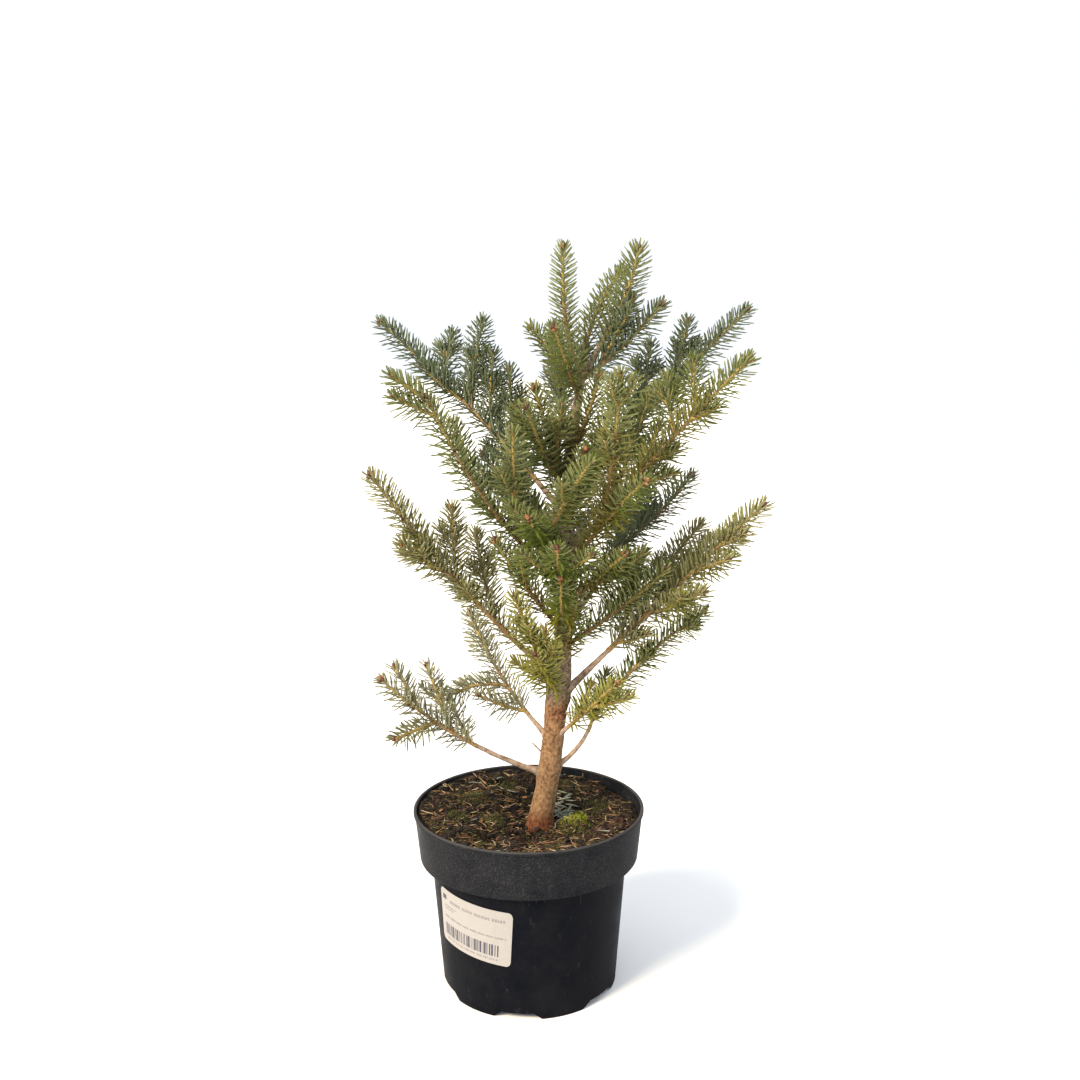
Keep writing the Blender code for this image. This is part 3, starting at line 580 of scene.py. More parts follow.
# How much the needles under a shoot outgrow those above it, where it isn't half
HANG = {
    "left": 0.1,
    "leader": 0.0,
    "top_left": 0.0,
    "top_back": 0.2,
    "upper_left": 0.8,
    "whorl_left": -0.2,
    "mid_low_right": -0.5,
    "centre_left": -0.3,
}

# How long a mass's needles are beside the others', and the share of them it has kept, where it isn't 1
SHORT = {
    "leader": 1.12,
    "top_left": 0.84,
    "top_back": 0.92,
    "low_left": 0.92,
    "whorl_left": 0.90,
    "right": 1.10,
    "upper_right": 1.06,
    "centre_left": 0.86,
}
THIN = {"low_left": 0.74, "second_left": 0.80, "low_front": 0.85}

# Along a needle: share of its length, and its half width as a share of the widest
NEEDLE_STATIONS = ((0.0, 0.36), (0.34, 1.0), (0.86, 0.84))
UPPER = 0
UNDER = 1


def needle_template():
    """A needle as vertices (share, across, above), faces and their sides: grooved above and keeled below."""
    verts = []
    for share, width in NEEDLE_STATIONS:
        verts.extend([(share, -width, 0.0), (share, 0.0, -0.35), (share, width, 0.0), (share, 0.0, -1.0)])
    tip = len(verts)
    verts.append((1.0, 0.0, -0.3))
    faces = np.concatenate([grid_faces(len(NEEDLE_STATIONS), 4), fan_faces(tip - 4, 4, tip)])
    slots = np.where(faces[:, 0] % 4 < 2, UPPER, UNDER)
    return np.array(verts), np.concatenate([faces, [(0, 3, 2), (0, 2, 1)]]), np.append(slots, [UNDER, UNDER])


NEEDLE_VERTS, NEEDLE_FACES, NEEDLE_SLOTS = needle_template()


def needle_mesh(roots, ahead, normal, bend, length, width):
    """Many needles at once: each leaves its root one way and bends towards another."""
    share, sideways, upwards = (NEEDLE_VERTS[None, :, axis, None] for axis in range(3))
    start = ahead[:, None]
    end = unit(ahead + bend)[:, None]
    length = length[:, None, None]
    width = width[:, None, None]
    thick = width * NEEDLE_THICK / NEEDLE_WIDTH
    centre = roots[:, None] + length * (start * share * (1 - share / 2) + end * share**2 / 2)
    here = unit(start * (1 - share) + end * share)
    across = unit(np.cross(here, normal[:, None]))
    above = np.cross(across, here)
    verts = centre + across * width / 2 * sideways + above * thick * upwards
    faces = NEEDLE_FACES[None] + np.arange(len(roots))[:, None, None] * len(NEEDLE_VERTS)
    return verts.reshape(-1, 3), faces.reshape(-1, 3), np.tile(NEEDLE_SLOTS, len(roots))


def shoot_needles(shoot, spaces, chance):
    """Where a shoot's needles stand and how they lean, combed to its sides and forward towards its tip."""
    total = lengths_along(shoot.path)[-1]
    first = shoot.first + (0.004 if shoot.first else 0.006)
    count = int((total - first) / NEEDLE_PITCH)
    if count < 3:
        return None
    hang = HANG.get(shoot.name, 0.5)
    distance = first + (np.arange(count) + chance.uniform(-0.3, 0.3, count)) * NEEDLE_PITCH
    to_tip = total - distance
    centre = points_along(shoot.path, distance)
    ahead = unit(points_along(shoot.path, distance + 0.003) - points_along(shoot.path, distance - 0.003))
    side, up = level_sides(ahead)

    # round the shoot, parted a little along its under side unless it stands upright
    roll = (np.arange(count) * GOLDEN_TURN + chance.uniform(0, 360)) % 360.0 - 180.0
    steep = np.clip((ahead[:, 2] - 0.80) / 0.17, 0.0, 1.0)
    roll = np.radians(roll * (0.90 + 0.10 * steep) + chance.uniform(-9, 9, count))
    above = np.cos(roll)
    out = above[:, None] * up + np.sin(roll)[:, None] * side

    near_tip = np.clip(1.0 - to_tip / CLOSED_REACH, 0.0, 1.0)
    lean = NEEDLE_LEAN - HANG_LEAN * hang * above
    lean = np.radians(lean * (1.0 - 0.55 * near_tip) + chance.uniform(-5, 5, count))[:, None]
    direction = np.cos(lean) * ahead + np.sin(lean) * out
    normal = ahead * 0.75 + up * (0.55 + 0.2 * above)[:, None] - out * 0.35
    normal = normal + chance.uniform(-0.22, 0.22, (count, 3))

    length = NEEDLE_LENGTH * SHORT.get(shoot.name, 1.0) * chance.uniform(0.92, 1.06, count)
    length = length * (1.0 - 0.20 * hang * above) * (1.0 - 0.42 * near_tip**1.5)
    grown = 0.82 + 0.18 * np.clip(to_tip / LONG_REACH, 0.0, 1.0)
    length = length * grown * (0.92 if shoot.order > 1 else 1.0)
    width = NEEDLE_WIDTH * chance.uniform(0.88, 1.12, count)
    roots = centre + out * 0.0007

    ends = roots + direction * length[:, None]
    middles = roots + direction * length[:, None] * 0.55
    clear = (spaces.limb_room(ends) > NEEDLE_ROOM) & (spaces.limb_room(middles) > NEEDLE_ROOM)
    clear &= ends[:, 2] > POT_HEIGHT + 0.001
    old = np.clip((to_tip - OLD_START) / OLD_REACH, 0.0, 1.0)
    clear &= chance.uniform(0, 1, count) < THIN.get(shoot.name, 1.0) * (1.0 - 0.34 * old)
    needles = {
        "roots": roots,
        "ahead": direction,
        "normal": normal,
        "bend": ahead * 0.28 + up * 0.16,
        "length": length,
        "width": width,
        "to_tip": to_tip,
    }
    return {key: values[clear] for key, values in needles.items()}


def make_needles(shoots, spaces, materials):
    """The needles of all shoots, joined by tone; a shoot's last growth is a spray of its own."""
    piles = {tone: Pile() for tone in NEEDLE_TONES}
    chance = np.random.default_rng(SEED)
    for shoot in shoots:
        needles = shoot_needles(shoot, spaces, chance)
        if needles is None:
            continue
        fresh = needles.pop("to_tip") < FRESH_REACH
        tone = BOUGHS[shoot.name].tone
        for spray, where in ((TIP_TONES.get(tone, tone), fresh), (tone, ~fresh)):
            if where.any():
                piles[spray].add(*needle_mesh(**{key: values[where] for key, values in needles.items()}))
    return [
        pile.make(f"needles_{tone}", materials, f"needle_{tone}", f"needle_{tone}_under", smooth=False)
        for tone, pile in piles.items()
    ]


# Twigs and buds

TWIG_OLD = 0
TWIG_YOUNG = 1
ORANGE_BUDS = 0.4  # the share of buds that are orange


def cushions(points, angles):
    """The small cushions that needles stand on."""
    return np.array(
        [
            [0.00022 * noise.noise(Vector(point) * 900 + Vector((angle, 0, 0))) for angle in angles]
            for point in points
        ]
    )


def make_twigs(shoots, materials):
    """The needled stems, tapering, browner where they are old."""
    pile = Pile()
    for shoot in shoots:
        path, places = smooth_path(shoot.path, TWIG_STEP)
        keep = places >= shoot.first - 0.001
        path = path[keep]
        places = places[keep]
        if len(path) < 3:
            continue
        share = (places - places[0]) / (places[-1] - places[0])
        radii = shoot.foot_radius + (TIP_RADIUS - shoot.foot_radius) * share**0.8
        verts, faces = tube_mesh(path, radii, TWIG_SIDES, cushions)
        slots = np.where(places[-1] - places < FRESH_REACH, TWIG_YOUNG, TWIG_OLD)
        pile.add(verts, faces, slots[np.clip(faces.min(axis=1) // TWIG_SIDES, 0, len(path) - 1)])
    return pile.make("twigs", materials, "twig_old", "twig_young")


def bud_mesh(place, ahead, size):
    """An egg-shaped bud of overlapping scales."""
    rings = 8
    sides = 9
    side, up = bud_sides(ahead)
    verts = []
    for ring in range(rings):
        share = ring / (rings - 1)
        radius = size * 0.46 * math.sin(math.pi * min(0.98, 0.14 + 0.86 * share) ** 0.82)
        for index in range(sides):
            angle = 2 * math.pi * (index + 0.5 * (ring % 2)) / sides
            scale = 1.0 + 0.10 * math.cos(3 * angle + ring * 2.1)
            verts.append(place + ahead * size * 1.15 * share + around(side, up, angle) * radius * scale)
    verts.append(place + ahead * size * 1.2)
    tip = rings * sides
    return np.array(verts), np.concatenate([grid_faces(rings, sides), fan_faces(tip - sides, sides, tip)])


def make_buds(shoots, materials):
    """Reddish-brown buds: one to four round each shoot's tip, and two among the last needles of a stem."""
    pile = Pile()
    chance = np.random.default_rng(SEED + 1)

    def add_bud(place, lean, size):
        pile.add(*bud_mesh(place, lean, size), slots=int(chance.uniform() < ORANGE_BUDS))

    for shoot in shoots:
        total = lengths_along(shoot.path)[-1]
        tip = shoot.path[-1]
        ahead = ahead_along(shoot.path, total - 0.002)
        side, up = bud_sides(ahead)
        size = BUD_SIZES[shoot.order]
        beside = BUD_COUNTS[shoot.order] - 1
        add_bud(tip - ahead * 0.001, ahead, size)
        for index in range(beside):
            out = around(side, up, 2 * math.pi * (index + chance.uniform(0, 0.4)) / beside)
            add_bud(tip - ahead * 0.0022 + out * 0.0012, unit(ahead * 0.8 + out * 0.75), size * 0.8)
        if shoot.order == 0 and total > 0.07:
            for back in chance.uniform(0.03, 0.05, 2):
                place = points_along(shoot.path, total - back)
                out = unit(side * chance.uniform(-1, 1) + up * chance.uniform(-1, 1))
                pile.add(*bud_mesh(place + out * 0.001, unit(out + ahead * 0.6), 0.0026))
    return pile.make("buds", materials, "bud", "bud_orange")


# Bark

# Marks on the trunk: height, azimuth, half height, half width in metres, and how far they stand out
TRUNK_MARKS = (
    (0.1985, 262, 0.0016, 0.0050, -0.0007),
    (0.2265, 275, 0.0017, 0.0110, 0.0010),
    (0.2330, 250, 0.0018, 0.0090, 0.0009),
    (0.2300, 300, 0.0008, 0.0080, -0.0008),
    (0.1790, 215, 0.0030, 0.0030, 0.0009),
    (0.2480, 300, 0.0030, 0.0026, 0.0010),
    (0.2610, 240, 0.0024, 0.0022, -0.0009),
    (0.1870, 310, 0.0012, 0.0016, -0.0006),
    (0.2130, 285, 0.0010, 0.0014, -0.0006),
)


def trunk_relief(z, angle):
    """How far the bark stands out at a height and an angle round the trunk: scales, lumps and ridges."""
    x = math.cos(angle) * 0.010
    y = math.sin(angle) * 0.010

    def grain(across, along, shift=0.0):
        return noise.noise(Vector((x * across, y * across, z * along + shift)))

    rough = float(np.interp(z, (0.150, 0.225, 0.250), (0.35, 0.8, 1.2)))
    relief = 0.00004 * grain(330, 480) + 0.00026 * rough * grain(260, 190, 9.0) + 0.00045 * grain(45, 42, 4.0)
    relief += 0.00040 * max(0.0, rough - 0.6) * -abs(grain(420, 34, 31.0))
    flare = math.exp(-max(0.0, z - SOIL_TOP) / 0.006)
    return relief + 0.0016 * flare * (0.6 + 0.4 * math.cos(3 * angle + 0.7))


def round_trunk(z, angle, azimuth):
    """How far round the trunk's bark an angle is from an azimuth."""
    return math.remainder(angle - math.radians(azimuth), 2 * math.pi) * trunk_radius(z)


def limb_swelling(z, angle):
    """The collar that the trunk grows round each bough's foot."""
    swelling = 0.0
    for bough in BOUGHS.values():
        if abs(z - bough.height) <= 0.02 and bough.bare:
            turn = round_trunk(z, angle, bough.azimuth)
            rise = z - bough.height - 0.0015
            swelling += 0.9 * bough.radius * mound(turn / SWELL_WIDTH, rise / SWELL_HEIGHT)
    return 0.55 * swelling


def mark_relief(z, angle):
    relief = 0.0
    for height, azimuth, half_height, half_width, depth in TRUNK_MARKS:
        relief += depth * mound((z - height) / half_height, round_trunk(z, angle, azimuth) / half_width)
    return relief


def make_trunk_bark(pile):
    high = TRUNK_Z[-1]
    heights = np.arange(SOIL_TOP - 0.004, high, TRUNK_ROW)
    verts = []
    for z in heights:
        centre = trunk_point(max(z, TRUNK_Z[0]))[0]
        for angle in ring_angles(TRUNK_COLUMNS):
            reliefs = (relief(z, angle) for relief in (trunk_relief, limb_swelling, mark_relief))
            radius = sum(reliefs, trunk_radius(z))
            verts.append((centre + radius * math.cos(angle), radius * math.sin(angle), z))
    tip = len(verts)
    verts.append((*trunk_point(high)[:2], high + 0.0006))
    sides = grid_faces(len(heights), TRUNK_COLUMNS)
    pile.add(verts, np.concatenate([sides, fan_faces(tip - TRUNK_COLUMNS, TRUNK_COLUMNS, tip)]))


def bough_relief(points, angles):
    """Fine wrinkles across a bough and shallow lumps along it."""
    relief = np.zeros((len(points), len(angles)))
    for row, (x, y, z) in enumerate(points):
        for column, angle in enumerate(angles):
            wrinkle = noise.noise(Vector((x * 900, y * 900, z * 900 + math.cos(angle))))
            lump = noise.noise(Vector((x * 160, y * 160, z * 160 + 2.0 * math.sin(angle))))
            relief[row, column] = 0.00016 * wrinkle + 0.00030 * lump
    return relief


def make_bough_bark(skeleton, pile):
    for name, bough in BOUGHS.items():
        if not bough.bare:
            continue
        path, places = smooth_path(skeleton[name][0], BOUGH_STEP)
        keep = places <= bough.bare + 0.0015
        path = path[keep]
        places = places[keep]
        radii = bough.radius + (TWIG_RADIUS - bough.radius) * BARE_TAPER * places / bough.bare
        foot = 0.8 * bough.radius * np.exp(-np.maximum(0.0, places - trunk_radius(bough.height)) / 0.0035)
        pile.add(*tube_mesh(path, radii + foot, BOUGH_SIDES, bough_relief), slots=1)


Stub = namedtuple("Stub", "height azimuth rise length radius")
STUBS = (
    Stub(0.186, 196, 52, 0.015, 0.0010),
    Stub(0.226, 330, 20, 0.010, 0.0008),
    Stub(0.270, 20, 30, 0.012, 0.0009),
)


def make_stubs(pile):
    """Short dead twigs left on the trunk."""
    for stub in STUBS:
        ahead = heading(stub.azimuth, stub.rise)
        reach = trunk_radius(stub.height) + np.linspace(-0.002, stub.length, STUB_POINTS)
        path = trunk_point(stub.height) + ahead * reach[:, None]
        path = path + np.sin(reach * 160.0)[:, None] * (0.0, 0.0, 0.0006)
        radii = np.linspace(stub.radius, stub.radius * 0.6, STUB_POINTS)
        pile.add(*tube_mesh(path, radii, TWIG_SIDES, bough_relief), slots=1)


def make_bark(skeleton, materials):
    pile = Pile()
    make_trunk_bark(pile)
    make_bough_bark(skeleton, pile)
    make_stubs(pile)
    return pile.make("bark", materials, "bark", "bough_bark")


# Pot


def body_radius(z):
    return FOOT_RADIUS + (BODY_TOP_RADIUS - FOOT_RADIUS) * z / COLLAR_FOOT


def collar_radius(z):
    share = (z - COLLAR_FOOT) / (POT_HEIGHT - COLLAR_FOOT)
    return COLLAR_FOOT_RADIUS + (RIM_RADIUS - LIP_DEPTH - COLLAR_FOOT_RADIUS) * share


def pot_profile():
    """The wall's corners as (radius, z, how round the corner is)."""
    lip = POT_HEIGHT - LIP_HEIGHT
    step = COLLAR_FOOT + WALL
    return [
        (FOOT_RADIUS, 0.0, 0.0008),
        (BODY_TOP_RADIUS, COLLAR_FOOT, 0.0004),
        (COLLAR_FOOT_RADIUS, COLLAR_FOOT, 0.0011),
        (collar_radius(lip), lip, 0.0004),
        (RIM_RADIUS, lip, 0.0007),
        (RIM_RADIUS, POT_HEIGHT, 0.0012),
        (collar_radius(POT_HEIGHT) - WALL, POT_HEIGHT, 0.0010),
        (collar_radius(step) - WALL, step, 0.0008),
        (body_radius(step) - WALL, step, 0.0008),
        (body_radius(CHANNEL_TOP) - WALL, CHANNEL_TOP, 0.0008),
        (PAN_RADIUS - WALL, CHANNEL_TOP, 0.0005),
        (PAN_RADIUS - WALL, PAN_TOP, 0.0005),
        (0.0, PAN_TOP, 0.0),
        (0.0, 0.0, 0.0),
        (PAN_RADIUS, 0.0, 0.0006),
        (PAN_RADIUS, CHANNEL_UNDER, 0.0006),
        (FOOT_RADIUS - FOOT_RING, CHANNEL_UNDER, 0.0006),
        (FOOT_RADIUS - FOOT_RING, 0.0, 0.0006),
    ]


def rounded_profile(corners, steps=4):
    """The profile with each corner turned by a small arc."""
    points = []
    count = len(corners)
    for index, (radius, z, rounding) in enumerate(corners):
        here = np.array([radius, z])
        if not rounding:
            points.append(tuple(here))
            continue
        before = unit(np.array(corners[index - 1][:2]) - here)
        after = unit(np.array(corners[(index + 1) % count][:2]) - here)
        start = here + before * rounding
        end = here + after * rounding
        for step in range(steps + 1):
            share = step / steps
            points.append(tuple((1 - share) ** 2 * start + 2 * share * (1 - share) * here + share**2 * end))
    return points


def turned_object(name, profile, steps):
    bm = bmesh.new()
    verts = [bm.verts.new((radius, 0.0, z)) for radius, z in profile]
    for start, end in zip(verts, verts[1:] + verts[:1]):
        if start.co.x > 0.0 or end.co.x > 0.0:
            bm.edges.new((start, end))
    geom = bm.verts[:] + bm.edges[:]
    bmesh.ops.spin(bm, geom=geom, cent=(0, 0, 0), axis=(0, 0, 1), angle=2 * math.pi, steps=steps)
    bmesh.ops.remove_doubles(bm, verts=bm.verts, dist=1e-5)
    bmesh.ops.recalc_face_normals(bm, faces=bm.faces)
    return mesh_object(name, bm)


def notch_cutters(index):
    """A gap with sloping ends through the foot ring, and the drain hole inside it."""
    notch = bmesh.new()
    bmesh.ops.create_cube(notch, size=1.0)
    for vert in notch.verts:
        width = NOTCH_TOP_WIDTH if vert.co.z > 0 else 2 * NOTCH_FOOT_WIDTH - NOTCH_TOP_WIDTH
        vert.co = (FOOT_RADIUS + vert.co.x * NOTCH_LENGTH, vert.co.y * width, vert.co.z * 2.0 * NOTCH_HEIGHT)
    drain = bmesh.new()
    radii = {"radius1": DRAIN_RADIUS, "radius2": DRAIN_RADIUS}
    bmesh.ops.create_cone(drain, cap_ends=True, segments=24, depth=4.0 * CHANNEL_TOP, **radii)
    bmesh.ops.translate(drain, vec=(DRAIN_RING, 0.0, 0.0), verts=drain.verts)
    cutters = mesh_object("notch", notch), mesh_object("drain", drain)
    for cutter in cutters:
        cutter.rotation_euler.z = math.radians(NOTCH_FIRST + index * 360.0 / NOTCHES)
    return cutters


def make_pot(materials):
    pot = turned_object("nursery_pot", rounded_profile(pot_profile()), POT_STEPS)
    pot.data.materials.append(materials["pot"])
    cutters = [cutter for index in range(NOTCHES) for cutter in notch_cutters(index)]
    for cutter in cutters:
        cut = pot.modifiers.new("cut", "BOOLEAN")
        cut.operation = "DIFFERENCE"
        cut.solver = "EXACT"
        cut.object = cutter
    graph = bpy.context.evaluated_depsgraph_get()
    mesh = bpy.data.meshes.new_from_object(pot.evaluated_get(graph))
    pot.modifiers.clear()
    pot.data = mesh
    for cutter in cutters:
        bpy.data.objects.remove(cutter)
    mesh.polygons.foreach_set("use_smooth", np.full(len(mesh.polygons), True))
    mesh.set_sharp_from_angle(angle=math.radians(SHARP_EDGE))
    return pot


# Soil and what lies on it

# Hollows and mounds of the peat: place (x, y), half width (x, y) and height
SOIL_DIPS = (
    (0.000, -0.036, 0.020, 0.022, -0.0085),
    (0.057, 0.004, 0.008, 0.018, -0.0070),
    (-0.032, -0.046, 0.009, 0.014, -0.0080),
    (-0.050, -0.044, 0.014, 0.012, 0.0035),
    (-0.026, -0.006, 0.012, 0.014, 0.0040),
    (0.036, -0.004, 0.012, 0.012, 0.0050),
    (-0.020, 0.062, 0.010, 0.010, -0.0050),
)

# The peat's unevenness from coarse to fine: how close together, shift, height
SOIL_GRAINS = (
    (32, 3.1, 0.0030),
    (130, 0.0, 0.0038),
    (420, 0.0, 0.0020),
    (1100, 0.0, 0.0007),
)


def soil_bank(x, y):
    """How much higher than the trunk's foot the soil lies, banked up towards the pot's back left wall."""
    away = (math.hypot(x - TRUNK[0][1], y) - BANK_START) / BANK_REACH
    share = min(1.0, max(0.0, away))
    turn = math.atan2(y, x) - math.radians(BANK_AZIMUTH)
    return BANK_RISE * share * share * (3.0 - 2.0 * share) * (0.7 + 0.3 * math.cos(turn))


def soil_height(x, y):
    """The top of the peat: crumbly, hollow in front of the trunk and banked up towards the pot's wall."""
    place = Vector((x, y, 0.0))
    uneven = sum(
        height * noise.noise(place * scale + Vector((shift, 0, 0)))
        for scale, shift, height in SOIL_GRAINS
    )
    edge = RIM_RADIUS - math.hypot(x, y)
    uneven *= 0.35 + 0.65 * min(1.0, edge / SOIL_CALM)
    dips = sum(
        depth * mound((x - across) / width, (y - along) / length)
        for across, along, width, length, depth in SOIL_DIPS
    )
    ring = -0.0022 * mound((from_trunk(x, y) - 0.016) / 0.005, 0.0)  # a shallow ditch round the trunk
    return SOIL_TOP + soil_bank(x, y) + uneven + dips + ring


def make_soil(materials):
    """The root ball: rough peat on top, and the pot's own inner shape below."""
    angles = ring_angles(SOIL_COLUMNS)
    verts = []
    for ring in range(SOIL_RINGS):
        share = ((ring + 0.4) / (SOIL_RINGS - 0.6)) ** 0.85
        for angle in angles:
            brim = SOIL_TOP + soil_bank(RIM_RADIUS * math.cos(angle), RIM_RADIUS * math.sin(angle))
            radius = share * (collar_radius(brim) - WALL - GAP)
            x = radius * math.cos(angle)
            y = radius * math.sin(angle)
            verts.append((x, y, soil_height(x, y)))
    wall = WALL + GAP
    step = COLLAR_FOOT + wall
    bottom = CHANNEL_TOP + GAP
    below = (
        (collar_radius(step) - wall, step),
        (body_radius(step) - wall, step),
        (body_radius(bottom) - wall, bottom),
        (PAN_RADIUS - wall, bottom),
        (PAN_RADIUS - wall, PAN_TOP + GAP),
    )
    for radius, z in below:
        verts.extend((radius * math.cos(angle), radius * math.sin(angle), z) for angle in angles)
    top = len(verts)
    verts.append((0.0, 0.0, soil_height(0.0, 0.0)))
    verts.append((0.0, 0.0, PAN_TOP + GAP))
    ends = fan_faces(0, SOIL_COLUMNS, top), fan_faces(top - SOIL_COLUMNS, SOIL_COLUMNS, top + 1)[:, ::-1]
    pile = Pile()
    pile.add(verts, np.concatenate([grid_faces(SOIL_RINGS + len(below), SOIL_COLUMNS), *ends]))
    return pile.make("peat", materials, "peat")


def scattered(count, chance, keep_off):
    """Places on the soil, off the trunk and inside the wall."""
    places = []
    edge = collar_radius(SOIL_TOP) - WALL - WALL_CLEAR
    while len(places) < count:
        x, y = chance.uniform(-edge, edge, 2)
        if math.hypot(x, y) < edge and from_trunk(x, y) > keep_off:
            places.append((x, y))
    return places


def strip_mesh(place, azimuth, rise, length, width, curl):
    """A flat curling strip: a straw, a root or a dead needle lying on the soil."""
    shares = np.linspace(-0.5, 0.5, 5)
    bend = (shares**2)[:, None] * curl * heading(azimuth + 90, 0)
    path = np.array(place) + shares[:, None] * length * heading(azimuth, rise) + bend
    path[:, 2] += width * 0.6
    return tube_mesh(path, width / 2 * (1.0 - 0.7 * np.abs(2 * shares) ** 3), 4)


# Loose bits: material, how many, shortest and longest, narrowest and widest, curl
LITTER = (
    ("straw", 150, (0.004, 0.013), (0.0004, 0.0009), 0.006),
    ("dry_root", 170, (0.005, 0.014), (0.0004, 0.0010), 0.006),
    ("fallen_needle", 16, (0.008, 0.014), (0.0008, 0.0012), 0.004),
    ("brown_needle", 420, (0.003, 0.009), (0.0004, 0.0010), 0.008),
    ("moss_strand", 900, (0.002, 0.006), (0.0003, 0.0006), 0.009),
)
FALLEN = 2

# The green needles that fell in a heap on the right of the trunk: how many, middle and spread along x and y
HEAP_COUNT = 46
HEAP_X = (0.027, 0.005)
HEAP_Y = (0.026, 0.012)


def make_litter(materials):
    """Straw, roots, fallen needles and strands of moss on the soil."""
    chance = np.random.default_rng(SEED + 2)
    litter = Pile()
    for slot, (_, count, lengths, widths, curl) in enumerate(LITTER):
        for x, y in scattered(count, chance, LITTER_CLEAR):
            length = chance.uniform(*lengths)
            rise = chance.normal(0.0, 11.0)
            z = soil_height(x, y) + 0.0006 + abs(math.sin(math.radians(rise))) * length * 0.3
            width = chance.uniform(*widths)
            piece = strip_mesh((x, y, z), chance.uniform(0, 360), rise, length, width, chance.normal(0, curl))
            litter.add(*piece, slots=slot)
    for _ in range(HEAP_COUNT):
        x = chance.normal(*HEAP_X)
        y = chance.normal(*HEAP_Y)
        place = (x, y, soil_height(x, y) + chance.uniform(0.0008, 0.0030))
        size = chance.uniform(0.009, 0.014), chance.uniform(0.0011, 0.0016)
        piece = strip_mesh(place, chance.uniform(0, 360), chance.normal(0, 16), *size, 0.002)
        litter.add(*piece, slots=FALLEN)
    return litter.make("litter", materials, *(kind[0] for kind in LITTER))


def lump_mesh(place, size, squash, chance):
    """A crumb or chip: a small rough lump."""
    bm = bmesh.new()
    bmesh.ops.create_icosphere(bm, subdivisions=1, radius=1.0)
    shift = Vector(chance.uniform(0, 50, 3))
    turn = Matrix.Rotation(chance.uniform(0, 6.3), 3, "Z") @ Matrix.Rotation(chance.normal(0, 0.4), 3, "X")
    verts = []
    for vert in bm.verts:
        co = vert.co * (1.0 + 0.45 * noise.noise(vert.co * 1.6 + shift))
        co = turn @ Vector((co.x * squash[0], co.y * squash[1], co.z * squash[2]))
        verts.append(Vector(place) + co * size)
    faces = [[v.index for v in face.verts] for face in bm.faces]
    bm.free()
    return np.array(verts), np.array(faces)


PEAT_CRUMB = 0
WOOD_CHIP = 1
RED_PEAT = 2
CHIPS = 36

# Crumbs: slot, how many, least size, how much larger they come, how rare the large ones are, and the share of
# its size that one stands up
CRUMBS = (
    (PEAT_CRUMB, 1100, 0.0007, 0.0030, 2.5, 0.1),
    (RED_PEAT, 520, 0.0009, 0.0034, 2, 0.2),
)
RED_PLACES = ((0.002, -0.046, 0.034), (0.060, -0.020, 0.026))  # where the peat is red: x, y, radius


def make_crumbs(materials):
    chance = np.random.default_rng(SEED + 3)
    pile = Pile()
    for slot, count, least, more, rare, stand in CRUMBS:
        for x, y in scattered(count, chance, CRUMB_CLEAR):
            if slot == RED_PEAT and all(math.hypot(x - x0, y - y0) >= reach for x0, y0, reach in RED_PLACES):
                continue
            size = least + more * chance.uniform() ** rare
            squash = (1.0, chance.uniform(0.6, 1.0), chance.uniform(0.5, 0.9))
            pile.add(*lump_mesh((x, y, soil_height(x, y) + size * stand), size, squash, chance), slots=slot)
    for x, y in scattered(CHIPS, chance, LITTER_CLEAR):
        size = chance.uniform(0.0016, 0.0036)
        squash = (1.0, chance.uniform(0.3, 0.6), 0.25)
        pile.add(*lump_mesh((x, y, soil_height(x, y) + 0.0006), size, squash, chance), slots=WOOD_CHIP)
    return pile.make("crumbs", materials, "peat_crumb", "wood_chip", "red_peat", smooth=False)


# Moss: middle of each patch, its half width, and 1 where it is bright
MOSS = (
    (0.038, -0.002, 0.015, 1),
    (0.044, 0.004, 0.009, 1),
    (0.034, -0.018, 0.013, 0),
    (-0.045, 0.028, 0.018, 0),
    (-0.028, -0.010, 0.016, 0),
    (-0.060, -0.012, 0.012, 0),
    (0.030, 0.060, 0.014, 0),
    (-0.020, 0.060, 0.014, 0),
    (-0.034, -0.052, 0.012, 0),
    (0.060, 0.020, 0.010, 0),
    (0.020, -0.058, 0.008, 0),
    (0.052, 0.030, 0.012, 0),
)
# Dark and bright moss: tufts for each metre of half width, and how high the cushion rises
MOSS_TUFTS = (30000, 46000)
MOSS_RISE = (0.0022, 0.0034)


def make_moss(materials):
    """Cushions of moss, as tufts of short pointed blades."""
    chance = np.random.default_rng(SEED + 4)
    pile = Pile()
    edge = collar_radius(SOIL_TOP) - WALL - 0.002
    for x0, y0, spread, bright in MOSS:
        for _ in range(int(spread * MOSS_TUFTS[bright])):
            x = x0 + chance.normal(0, spread * 0.5)
            y = y0 + chance.normal(0, spread * 0.5)
            if math.hypot(x, y) > edge or from_trunk(x, y) < MOSS_CLEAR:
                continue
            away = math.hypot(x - x0, y - y0) / spread
            lift = MOSS_RISE[bright] * math.exp(-away * away * 2)
            root = np.array([x, y, soil_height(x, y) + lift - 0.0008])
            ahead = unit(np.array([chance.normal(0, 0.5), chance.normal(0, 0.5), 1.0]))
            side = unit(np.cross(ahead, chance.normal(0, 1, 3)))
            tip = root + ahead * chance.uniform(0.0014, 0.0030)
            verts = [root - side * 0.0003, root + side * 0.0003, root + np.cross(side, ahead) * 0.0004, tip]
            pile.add(verts, [(0, 1, 3), (1, 2, 3), (2, 0, 3)], slots=bright)
    return pile.make("moss", materials, "moss_dark", "moss_bright", smooth=False)


# Label


